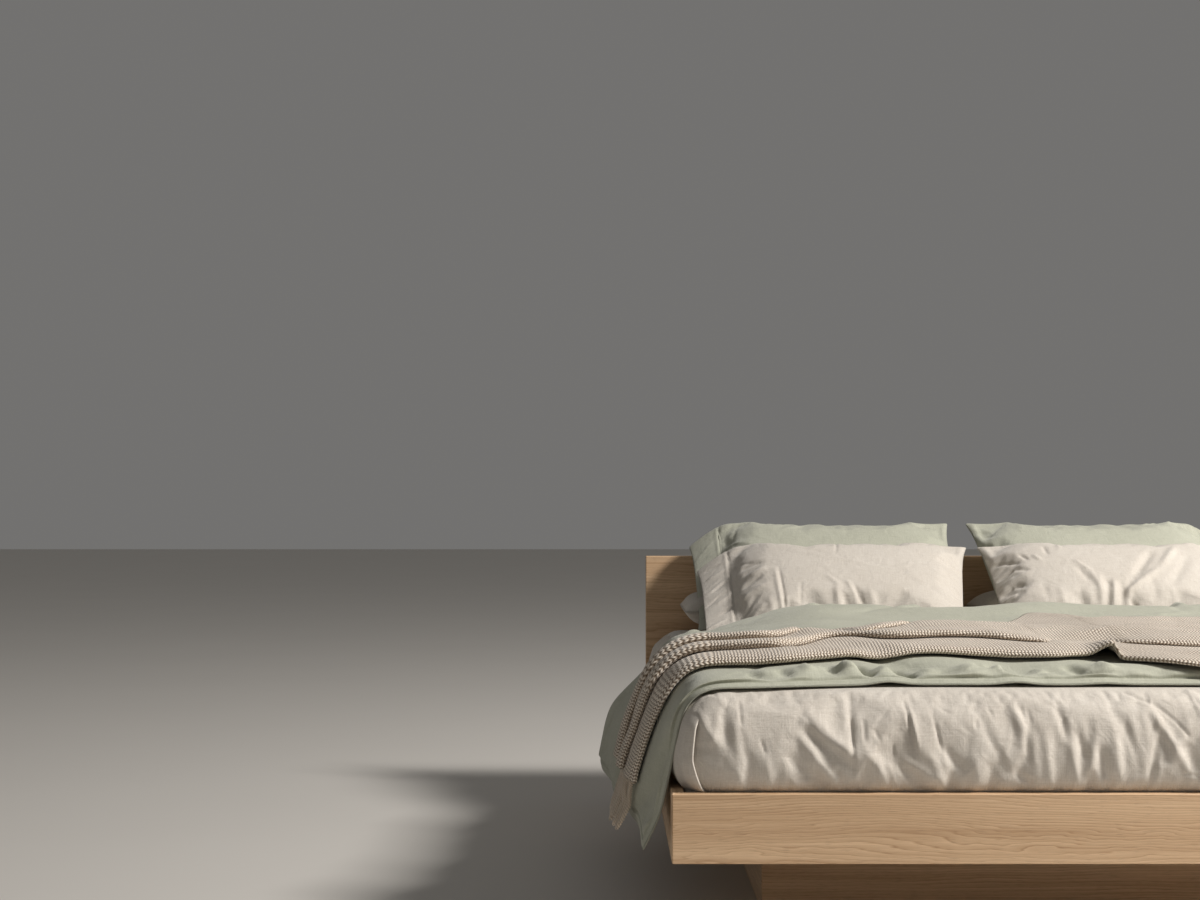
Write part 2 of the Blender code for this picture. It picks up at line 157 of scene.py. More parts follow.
class Recipe:
    """A material while its nodes are being wired."""

    def __init__(self, name: str) -> None:
        """Starts a Principled material with that name."""
        self.material = bpy.data.materials.new(name)
        self.material.use_nodes = True
        self.tree = self.material.node_tree
        self.shader = self.tree.nodes["Principled BSDF"]

    def add(self, kind: str, inputs: dict | None = None, **settings: object) -> bpy.types.Node:
        """Adds a node.

        Args:
            kind: The node's type name without ShaderNode.
            inputs: Values or signals by input name or number.
            **settings: Properties of the node.

        Returns:
            The new node.
        """
        node = self.tree.nodes.new("ShaderNode" + kind)
        for key, value in settings.items():
            setattr(node, key, value)
        for key, value in (inputs or {}).items():
            self.feed(node.inputs[key], value)
        return node

    def made(self, kind: str, inputs: dict | None = None, **settings: object) -> Signal:
        """Adds a node and gives its first output."""
        return Signal(self, self.add(kind, inputs, **settings).outputs[0])

    def feed(self, target: Socket, value: object) -> None:
        """Links a signal into a socket, or sets the socket to a plain value.

        Args:
            target: The socket.
            value: What goes in.
        """
        if isinstance(value, Signal):
            self.tree.links.new(value.socket, target)
        else:
            target.default_value = value

    def space(self, name: str) -> Signal:
        """The coordinates of one kind: Object or UV."""
        return Signal(self, self.add("TexCoord").outputs[name])

    def split(self, vector: Signal) -> list[Signal]:
        """A vector's three parts."""
        return [Signal(self, part) for part in self.add("SeparateXYZ", {0: vector}).outputs]

    def math(self, operation: str, a: object, b: object = 0.0) -> Signal:
        """One Math node on two values."""
        return self.made("Math", {0: a, 1: b}, operation=operation)

    def noise(self, vector: Signal, scale: float, detail: float = 2.0, distortion: float = 0.0) -> Signal:
        """The grey output of a Noise Texture."""
        inputs = {"Vector": vector, "Scale": scale, "Detail": detail, "Distortion": distortion}
        return self.made("TexNoise", inputs)

    def streaks(
        self, vector: Signal, scale: Sequence[float], shift: Sequence[float] = (0, 0, 0), detail: float = 2.0
    ) -> Signal:
        """Noise whose coordinates are scaled by axis, and shifted to another part of the pattern."""
        place = self.made("Mapping", {"Vector": vector, "Scale": scale, "Location": shift})
        return self.noise(place, 1.0, detail)

    def ramp(self, value: Signal, *stops: tuple[float, float]) -> Signal:
        """Turns a value into another.

        Args:
            value: What goes in.
            *stops: Each a position and the grey it gives.

        Returns:
            The grey.
        """
        ramp = self.add("ValToRGB", {"Fac": value})
        elements = ramp.color_ramp.elements
        while len(elements) < len(stops):
            elements.new(0.5)
        for element, (place, grey) in zip(elements, stops):
            element.position = place
            element.color = (grey, grey, grey, 1)
        return Signal(self, ramp.outputs[0])

    def blend(self, share: Signal, a: Signal | Colour, b: Signal | Colour) -> Signal:
        """Mixes two colours.

        Args:
            share: How much of the second one shows.
            a: The first colour.
            b: The second colour.

        Returns:
            The mixed colour.
        """
        node = self.add("Mix", {0: share}, data_type="RGBA")
        for number, colour in ((6, a), (7, b)):
            self.feed(node.inputs[number], (*colour, 1) if isinstance(colour, tuple) else colour)
        return Signal(self, node.outputs[2])

    def bump(self, height: Signal, distance: float, strength: float, under: Signal | None = None) -> Signal:
        """A Bump node's normal, on top of an earlier one if given."""
        earlier = {} if under is None else {"Normal": under}
        return self.made("Bump", {"Height": height, "Distance": distance, "Strength": strength, **earlier})

    def finish(self, **sockets: object) -> bpy.types.Material:
        """Feeds the shader's sockets, named with _ for a space.

        Args:
            **sockets: What goes into each.

        Returns:
            The finished material.
        """
        for key, value in sockets.items():
            self.feed(self.shader.inputs[key.replace("_", " ")], value)
        return self.material


@dataclass(frozen=True)
class WoodFinish:
    """Sawn wood: straight grain lines that wave a little, broad soft bands, pores and fibres."""

    name: str
    grain: Grain
    light: Colour
    dark: Colour
    heart: tuple[float, float] = (0.05, 0.16)
    shift: float = 0.0
    ring: float = 0.0062
    pores: float = 0.35
    curl: float = 0.012
    roughness: float = 0.55

    def material(self) -> bpy.types.Material:
        """Wires the wood. Its rings lie round a heart line outside the board, so faces show long lines.

        Returns:
            The material.
        """
        r = Recipe(self.name)
        parts = r.split(r.space("Object"))
        run, side, deep = (parts[axis] for axis in self.grain.value)
        place = r.made("CombineXYZ", {0: run + self.shift, 1: side, 2: deep})

        slow = r.streaks(place, (1.1, 6, 6))
        curly = r.streaks(place, (10, 34, 34), (3, 5, 1))
        where = r.ramp(r.streaks(place, (1.6, 13, 13), (8, 2, 6), 1.0), (0.52, 0.0), (0.66, 1.0))
        wave = slow.swing(0.05) + curly.swing(self.curl) * where
        from_heart = side + wave + self.heart[1]
        over_heart = deep + slow.swing(0.03) + self.heart[0]
        radius = r.math("SQRT", from_heart**2.0 + over_heart**2.0)
        turns = radius / self.ring + r.streaks(place, (3.5, 150, 150)).swing(0.5)
        rings = r.ramp(r.math("FRACT", turns), (0.0, 0.2), (0.12, 0.62), (0.5, 0.8), (0.86, 1.0), (1.0, 0.2))
        line = (rings - 0.75) * (r.streaks(place, (2.0, 60, 60), (1, 7, 4)) * 1.3)

        fibre = r.streaks(place, (9, 520, 520), detail=3.0)
        streak = r.streaks(place, (1.6, 110, 110), (2, 2, 5))
        pore = r.ramp(r.streaks(place, (34, 1100, 1100), detail=1.0), (0.60, 0.0), (0.70, 1.0))
        band = r.streaks(place, (0.5, 24, 24), (3, 1, 9))
        tone = line * 1.15 + fibre.swing(0.22) + streak.swing(0.5) + band.swing(0.62) + 0.55
        colour = r.blend(r.made("Clamp", {0: tone}), self.dark, self.light)
        shade = tuple(c * 0.5 for c in self.dark)
        return r.finish(
            Base_Color=r.blend(pore * self.pores, colour, shade),
            Roughness=fibre * 0.14 + (self.roughness - 0.07),
            Normal=r.bump(fibre * 0.6 - pore * 0.8 + line, 0.0004, 0.6),
            Specular_IOR_Level=0.35,
        )


@dataclass(frozen=True)
class LinenFinish:
    """Washed linen in a plain weave, with slubs where the yarn is thick and a crushed surface."""

    name: str
    light: Colour
    dark: Colour
    thread: float = 0.0011
    weave: float = 0.45
    crush: float = 0.8

    def material(self) -> bpy.types.Material:
        """Wires the weave on the piece's own UV map, which is in metres of cloth.

        Returns:
            The material.
        """
        r = Recipe(self.name)
        cloth = r.space("UV")
        wander = r.noise(cloth, 60.0) * 5.0
        across, along, _ = r.split(cloth)
        turn = 2 * math.pi / self.thread
        check = r.math("SINE", across * turn + wander) * r.math("SINE", along * turn + wander)
        slubs = r.streaks(cloth, (620, 22, 1)) + r.streaks(cloth, (22, 620, 1), (5, 3, 0))
        slub = r.ramp(slubs * 0.5, (0.42, 0.0), (0.66, 1.0))
        cloud, grit = r.noise(cloth, 6.0, 4.0), r.noise(cloth, 240.0, 3.0)
        tone = slub * 0.30 + check * 0.10 + cloud * 0.40 + grit * 0.45

        crushed = r.noise(cloth, 30.0, 5.0, 0.8)
        ridges = {"Vector": cloth, "Scale": 11.0, "Detail": 3.0}
        pressed = r.made("TexNoise", ridges, noise_type="RIDGED_MULTIFRACTAL")
        fine = r.bump(check * 0.4 + slub, 0.0005, self.weave)
        return r.finish(
            Base_Color=r.blend(tone, self.dark, self.light),
            Roughness=0.92,
            Normal=r.bump(crushed * 0.7 + pressed * 0.16, 0.0045, self.crush, fine),
            Sheen_Weight=0.2,
            Sheen_Roughness=0.45,
            Specular_IOR_Level=0.2,
        )


@dataclass(frozen=True)
class KnitFinish:
    """Chunky yarn in rows of slanted stitches that lean the other way in every second row."""

    name: str
    light: Colour
    dark: Colour
    row: float = 0.0064
    stitch: float = 0.0068
    slant: float = 0.5

    def material(self) -> bpy.types.Material:
        """Wires the stitches on the UV map, whose V runs along the throw's rows.

        Returns:
            The material.
        """
        r = Recipe(self.name)
        cloth = r.space("UV")
        wander = r.noise(cloth, 55.0)
        through, along, _ = r.split(cloth)
        through = through / self.row + wander * 0.5
        lean = r.math("PINGPONG", through, 1.0) * self.slant
        along = along / self.stitch + lean + wander * 0.6
        wave = r.math("COSINE", along * (2 * math.pi))
        from_middle = r.math("ABSOLUTE", r.math("FRACT", through) - 0.5) * 2.0
        crown = 1.0 - from_middle**2.6
        yarn = r.math("MAXIMUM", wave * 0.40 + 0.60, 0.0) * (crown * 0.75 + 0.25)
        fuzz = r.noise(cloth, 900.0, 3.0)
        # The stitch shape also paints the colour: painted shade in the gaps between stitches and rows, and a
        # painted highlight on each stitch's crown.
        tone = yarn + fuzz.swing(0.25) + r.noise(cloth, 9.0, 3.0).swing(0.125)
        return r.finish(
            Base_Color=r.blend(r.ramp(tone, (0.12, 0.0), (0.72, 1.0)), self.dark, self.light),
            Roughness=0.95,
            Normal=r.bump(yarn + fuzz * 0.15, 0.0026, 0.85),
            Sheen_Weight=0.3,
            Sheen_Roughness=0.5,
            Specular_IOR_Level=0.15,
        )


@dataclass(frozen=True)
class YarnFinish:
    """Soft twisted yarn for the fringe's cords, patterned in object space."""

    name: str
    light: Colour
    dark: Colour

    def material(self) -> bpy.types.Material:
        """Wires fine fibres over a plain colour.

        Returns:
            The material.
        """
        r = Recipe(self.name)
        place = r.space("Object")
        fuzz = r.noise(place, 700.0, 4.0, 0.4)
        tone = fuzz * 0.7 + r.noise(place, 22.0) * 0.3
        return r.finish(
            Base_Color=r.blend(tone, self.dark, self.light),
            Roughness=0.95,
            Normal=r.bump(fuzz, 0.0008, 0.7),
            Sheen_Weight=0.3,
            Sheen_Roughness=0.5,
            Specular_IOR_Level=0.15,
        )


@dataclass(frozen=True)
class FloorFinish:
    """A plain pale floor, a little cloudy."""

    name: str
    colour: Colour

    def material(self) -> bpy.types.Material:
        """Wires a faint cloud over the pale colour.

        Returns:
            The material.
        """
        r = Recipe(self.name)
        cloud = r.noise(r.space("Object"), 1.2, 4.0)
        darker = tuple(c * 0.96 for c in self.colour)
        return r.finish(Base_Color=r.blend(cloud, darker, self.colour), Roughness=0.8, Specular_IOR_Level=0.2)


OAK_LIGHT, OAK_DARK = srgb(222, 190, 154), srgb(180, 145, 110)
PINE_LIGHT, PINE_DARK = srgb(222, 196, 156), srgb(186, 150, 108)
LINEN_LIGHT, LINEN_DARK = srgb(220, 214, 205), srgb(181, 171, 158)
SAGE_LIGHT, SAGE_DARK = srgb(194, 194, 178), srgb(152, 153, 136)
# The knit's light colour is the yarn's pale tone plus a painted highlight on the stitch crowns; its dark
# colour is painted shade in the gaps between stitches and rows.
KNIT_YARN_AND_CROWN_HIGHLIGHT, KNIT_GAP_SHADE = srgb(238, 226, 210), srgb(112, 92, 72)
TICKING_LIGHT, TICKING_DARK = srgb(232, 230, 224), srgb(204, 202, 196)


# Shaping helpers


def mesh_of(shape: bmesh.types.BMesh, name: str) -> bpy.types.Mesh:
    """Keeps a finished bmesh as a mesh, and frees it.

    Args:
        shape: The bmesh.
        name: The mesh's name.

    Returns:
        The mesh.
    """
    mesh = bpy.data.meshes.new(name)
    shape.to_mesh(mesh)
    shape.free()
    return mesh


def flat_grid(columns: int, rows: int, name: str, size: float = 1.0) -> bpy.types.Mesh:
    """A flat grid whose x and y run from -size to size."""
    shape = bmesh.new()
    bmesh.ops.create_grid(shape, x_segments=columns, y_segments=rows, size=size)
    return mesh_of(shape, name)


def spread_grid(columns: int, rows: int, cuts: int = 0) -> bpy.types.Mesh:
    """A closed shell of two stacked grids whose coordinates are its own u, v and layer.

    Args:
        columns: Faces along u, which runs from -1 to 1.
        rows: Faces along v, which runs from -1 to 1.
        cuts: Extra loops round the rim, between layer 0, under, and layer 1, over.

    Returns:
        The mesh, whose vertices are then moved to their places.
    """
    shape = bmesh.new()
    under = bmesh.ops.create_grid(shape, x_segments=columns, y_segments=rows, size=1.0)["verts"]
    over = bmesh.ops.create_grid(shape, x_segments=columns, y_segments=rows, size=1.0)["verts"]
    bmesh.ops.translate(shape, verts=over, vec=(0, 0, 1))
    low = set(under)
    bmesh.ops.reverse_faces(shape, faces=[f for f in shape.faces if f.verts[0] in low])
    bmesh.ops.bridge_loops(shape, edges=[e for e in shape.edges if e.is_boundary])
    bmesh.ops.recalc_face_normals(shape, faces=shape.faces)
    if cuts:
        risers = [e for e in shape.edges if abs(e.verts[0].co.z - e.verts[1].co.z) > 0.5]
        bmesh.ops.subdivide_edges(shape, edges=risers, cuts=cuts)
    return mesh_of(shape, "shell")


def read_rows(items: bpy.types.bpy_prop_collection, name: str) -> Array:
    """One of the vectors of each item, such as a vertex's co, as an array of rows."""
    out = np.empty(len(items) * 3, np.float32)
    items.foreach_get(name, out)
    return out.reshape(-1, 3).astype(float)


def points_of(mesh: bpy.types.Mesh) -> Array:
    """The mesh's vertices as an array of rows."""
    return read_rows(mesh.vertices, "co")


def set_points(mesh: bpy.types.Mesh, points: Array) -> None:
    """Moves the mesh's vertices to the rows of an array."""
    mesh.vertices.foreach_set("co", np.ascontiguousarray(points, dtype=np.float32).ravel())
    mesh.update()


def push_along(mesh: bpy.types.Mesh, rise: Array) -> None:
    """Moves each vertex along its normal by its own distance."""
    set_points(mesh, points_of(mesh) + read_rows(mesh.vertex_normals, "vector") * rise[:, None])


def give_cloth_map(mesh: bpy.types.Mesh, flat: Array) -> None:
    """Gives the mesh a UV map.

    Args:
        mesh: The mesh.
        flat: Where each vertex lies on the flat cloth, in metres.
    """
    layer = mesh.uv_layers.new(name="cloth")
    corner = np.empty(len(mesh.loops), np.int32)
    mesh.loops.foreach_get("vertex_index", corner)
    layer.data.foreach_set("uv", flat[corner].astype(np.float32).ravel())


def note_places(mesh: bpy.types.Mesh, places: Array) -> None:
    """Writes three numbers down for each vertex, which a subdivision carries on to the new ones."""
    noted = mesh.attributes.new("place", "FLOAT_VECTOR", "POINT")
    noted.data.foreach_set("vector", places.astype(np.float32).ravel())


def read_places(mesh: bpy.types.Mesh) -> Array:
    """Takes the noted numbers off the mesh again.

    Args:
        mesh: A mesh that note_places was used on.

    Returns:
        Three arrays, each with a number for each vertex.
    """
    noted = mesh.attributes["place"]
    out = read_rows(noted.data, "vector")
    mesh.attributes.remove(noted)
    return out.T


def place_piece(name: str, mesh: bpy.types.Mesh, material: bpy.types.Material) -> bpy.types.Object:
    """Makes a smooth-shaded object of a mesh that rides on the bed.

    Args:
        name: The piece's name.
        mesh: Its mesh, in place.
        material: Its finish.

    Returns:
        The object.
    """
    mesh.name = name
    mesh.materials.clear()
    mesh.materials.append(material)
    mesh.shade_smooth()
    piece = bpy.data.objects.new(name, mesh)
    bpy.context.scene.collection.objects.link(piece)
    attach(piece, "root")
    return piece


def finish_with(piece: bpy.types.Object, kind: str, **settings: object) -> None:
    """Adds a modifier and applies it at once.

    Args:
        piece: The object.
        kind: The modifier's type.
        **settings: The modifier's settings.
    """
    modifier = piece.modifiers.new(kind.lower(), kind)
    for key, value in settings.items():
        setattr(modifier, key, value)
    graph = bpy.context.evaluated_depsgraph_get()
    old = piece.data
    piece.data = bpy.data.meshes.new_from_object(piece.evaluated_get(graph))
    piece.data.name = piece.name
    piece.modifiers.clear()
    bpy.data.meshes.remove(old)


def refine(piece: bpy.types.Object, levels: int) -> None:
    """Subdivides a padded piece, with its UV map kept straight."""
    finish_with(piece, "SUBSURF", levels=levels, render_levels=levels, uv_smooth="NONE")


@dataclass(frozen=True)
class ClothRun:
    """One short cloth simulation without gravity, which crumples a piece or puffs it up."""

    frames: int
    grow: float
    bend: float
    stretch: float
    cap: float
    pressure: float = 0.0
    quality: int = 5
    mass: float = 0.25
    damping: float = 2.0

    def settle(self, piece: bpy.types.Object, held: Array) -> None:
        """Runs the simulation and keeps its result as the piece's mesh.

        Args:
            piece: The cloth.
            held: For each vertex, 1 where it is pinned and 0 where it is free.
        """
        start = points_of(piece.data)
        scene = bpy.context.scene
        cloth = piece.modifiers.new("cloth", "CLOTH")
        s = cloth.settings
        s.quality = self.quality
        s.mass = self.mass
        s.tension_stiffness = s.compression_stiffness = self.stretch
        s.shear_stiffness = self.stretch / 3
        s.bending_stiffness = self.bend
        s.air_damping = self.damping
        s.shrink_min = -self.grow
        s.effector_weights.gravity = 0.0
        if self.pressure:
            s.use_pressure = True
            s.uniform_pressure_force = self.pressure
        group = piece.vertex_groups.new(name="held")
        group.add(np.flatnonzero(held).tolist(), 1.0, "REPLACE")
        s.vertex_group_mass = group.name
        cloth.collision_settings.use_collision = False
        cloth.point_cache.frame_start = 1
        cloth.point_cache.frame_end = self.frames
        scene.frame_start, scene.frame_end = 1, self.frames
        for step in range(1, self.frames + 1):
            scene.frame_set(step)
        graph = bpy.context.evaluated_depsgraph_get()
        move = points_of(piece.evaluated_get(graph).data) - start
        piece.modifiers.remove(cloth)
        piece.vertex_groups.clear()
        length = np.linalg.norm(move, axis=1, keepdims=True)
        move *= np.minimum(1.0, self.cap / np.maximum(length, 1e-9))
        set_points(piece.data, start + np.nan_to_num(move))
        scene.frame_set(1)


# The bed's pieces


@dataclass
class OakFrame:
    """The boards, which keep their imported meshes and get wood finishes.

    Each oak board has its grain, the place of its heart line and its shift along the pattern.
    """

    oak: dict[str, tuple] = field(
        default_factory=lambda: {
            "headboard": (Grain.ACROSS_BED, (0.05, 0.02), 3.0),
            "rail_foot": (Grain.ACROSS_BED, (1.10, -0.10), 0.4),
            "rail_left": (Grain.ALONG_BED, (0.99, -0.10), 1.7),
            "rail_right": (Grain.ALONG_BED, (-0.99, -0.10), 5.1),
            "plinth_foot": (Grain.ACROSS_BED, (0.5, 0.1), 7.3),
            "plinth_head": (Grain.ACROSS_BED, (-0.8, 0.1), 9.9),
            "plinth_left": (Grain.ALONG_BED, (0.6, 0.1), 11.0),
            "plinth_right": (Grain.ALONG_BED, (-0.6, 0.1), 13.0),
        }
    )

    def dress(self) -> list[str]:
        """Gives each board its wood: oak where it shows, and pine for what carries the mattress.

        Returns:
            The names of the oak boards.
        """
        woods = {
            name: WoodFinish(f"oak_{name}", grain, OAK_LIGHT, OAK_DARK, heart, shift).material()
            for name, (grain, heart, shift) in self.oak.items()
        }
        pine = {}
        for grain in Grain:
            name = f"pine_{grain.name.lower()}"
            finish = WoodFinish(name, grain, PINE_LIGHT, PINE_DARK, ring=0.006, pores=0.05)
            pine[grain] = finish.material()
        for name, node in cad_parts.items():
            material = woods.get(name)
            if name.startswith(("slat_", "bearer_", "rail_head")):
                material = pine[Grain.ACROSS_BED]
            if name.startswith(("spine_", "ledger_")):
                material = pine[Grain.ALONG_BED]
            for slot in node.material_slots if material else ():
                slot.material = material
        return sorted(woods)


def thousandths(*rows: tuple[float, ...]) -> Array:
    """A table written in thousandths, so in millimetres where it holds lengths."""
    return np.array(rows) / 1000


# Folds drawn from the photograph on the foot side: from x, z to x, z, then height and width
FOOT_FOLDS = thousandths(
    (-682, 468, -560, 378, -7.5, 13), (-686, 456, -600, 350, 6.5, 10), (-712, 418, -616, 344, -7.5, 15),
    (-659, 482, -560, 405, 4.5, 13), (-866, 488, -835, 431, 7, 8), (-824, 492, -816, 425, -5.5, 9),
    (-802, 480, -795, 410, 3.5, 10), (-852, 440, -838, 345, -8, 22), (-775, 425, -770, 345, -4.5, 13),
    (-800, 400, -792, 345, 4, 10), (-742, 410, -735, 345, 4, 9), (-533, 436, -428, 352, -8.5, 17),
    (-490, 410, -405, 360, 6, 10), (-466, 480, -430, 400, 5, 14), (-560, 440, -500, 345, 5.5, 12),
    (-402, 430, -366, 384, -7.5, 10), (-385, 385, -380, 344, -6, 10), (-425, 420, -400, 344, 5.5, 9),
    (-345, 420, -330, 344, 5, 12), (-310, 400, -300, 344, -5, 10), (-270, 510, -225, 430, 4.5, 10),
    (-238, 466, -232, 388, -6, 8), (-264, 382, -222, 355, -5.5, 8), (-206, 470, -190, 345, 5, 10),
    (-173, 506, -159, 436, -6, 7), (-143, 468, -127, 402, -7, 8), (-156, 450, -140, 345, 5, 8),
    (-116, 480, -114, 430, -3.5, 8), (-105, 460, -125, 345, 5.5, 8), (-96, 430, -86, 364, -8.5, 10),
    (-116, 382, -115, 342, -8, 9), (-70, 470, -60, 360, 5.5, 12), (-74, 378, -78, 344, -5.5, 8),
    (-46, 478, -32, 418, -5, 7),
)
# Sharp creases left by folding, in the same form
FOOT_CREASES = thousandths(
    (-793, 516, -790, 466, -3, 2.8), (-754, 446, -744, 416, -2.8, 3), (-577, 490, -575, 414, -3.8, 3),
    (-552, 478, -551, 438, -3.2, 3), (-533, 462, -521, 440, -2.6, 3), (-470, 513, -456, 411, -4.5, 3.2),
    (-463, 510, -447, 415, 2.8, 4), (-500, 500, -530, 470, -1.8, 2.8), (-419, 490, -401, 418, -3.4, 3.4),
    (-497, 436, -494, 408, -2.6, 3), (-335, 480, -334, 462, -2.8, 2.6), (-310, 505, -300, 482, -2.4, 2.8),
    (-403, 500, -380, 490, -2, 2.6), (-36, 529, 21, 506, -2.2, 3), (18, 508, 56, 473, -3.2, 3),
    (52, 478, 79, 447, -3.6, 3), (60, 380, 105, 372, -2.4, 3), (-232, 500, -228, 470, -2.6, 3),
    (-245, 505, -240, 480, -2.4, 3),
)


def relief(along: Array, height: Array, strokes: Array) -> Array:
    """Adds up folds, each a soft ridge or groove along a straight line that fades at its ends.

    Args:
        along: First coordinate of each point.
        height: Second coordinate of each point.
        strokes: Rows of start, end, height and width.

    Returns:
        How far each point is raised.
    """
    out = np.zeros_like(along)
    for a0, b0, a1, b1, tall, wide in strokes:
        reach = 3 * wide
        near = (
            (along > min(a0, a1) - reach)
            & (along < max(a0, a1) + reach)
            & (height > min(b0, b1) - reach)
            & (height < max(b0, b1) + reach)
        )
        a, b = along[near] - a0, height[near] - b0
        length = math.hypot(a1 - a0, b1 - b0) + 1e-9
        way_a, way_b = (a1 - a0) / length, (b1 - b0) / length
        t = (a * way_a + b * way_b) / length
        off = (a * way_b - b * way_a) / wide
        past = np.maximum(np.maximum(-t, t - 1), 0) * length / wide
        fade = np.clip(1 - (2 * np.clip(t, 0, 1) - 1) ** 4, 0.25, 1)
        out[near] += tall * fade * np.exp(-(off**2) - past**2 * 1.5)
    return out


def random_folds(
    seed: int,
    span: tuple[float, float],
    levels: tuple[float, float],
    each_metre: float,
    tall: tuple[float, float],
    wide: tuple[float, float],
    lean: float = 0.25,
    length: tuple[float, float] = (0.05, 0.15),
) -> Array:
    """Draws folds that run mostly up and down.

    Args:
        seed: Seed of the draw.
        span: Range of the first coordinate.
        levels: Range of the second coordinate for a fold's lower end.
        each_metre: How many folds there are in a metre of span.
        tall: Least and greatest height, either way.
        wide: Least and greatest width.
        lean: Spread of the folds' slope.
        length: Least and greatest length.

    Returns:
        Rows for relief.
    """
    draw = np.random.default_rng(seed)
    count = round((span[1] - span[0]) * each_metre)
    start = draw.uniform(*span, count)
    low = draw.uniform(*levels, count)
    run = draw.uniform(*length, count)
    slope = draw.normal(0, lean, count)
    sign = np.where(np.arange(count) % 2, 1, -1)
    heights, widths = sign * draw.uniform(*tall, count), draw.uniform(*wide, count)
    return np.stack([start - slope * run, low + run, start, low, heights, widths], 1)


def crown_of(x: Array, y: Array, rise: float = 0.007) -> Array:
    """How much the mattress's top rises inside its edges."""
    return rise * ease((0.86 - np.abs(x)) / 0.35) * ease((y + 1.0) / 0.12)


def corners_of(name: str) -> tuple[Array, Array]:
    """The low and the high corner of a node's box, as arrays."""
    low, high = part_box(name)
    return np.array(low), np.array(high)


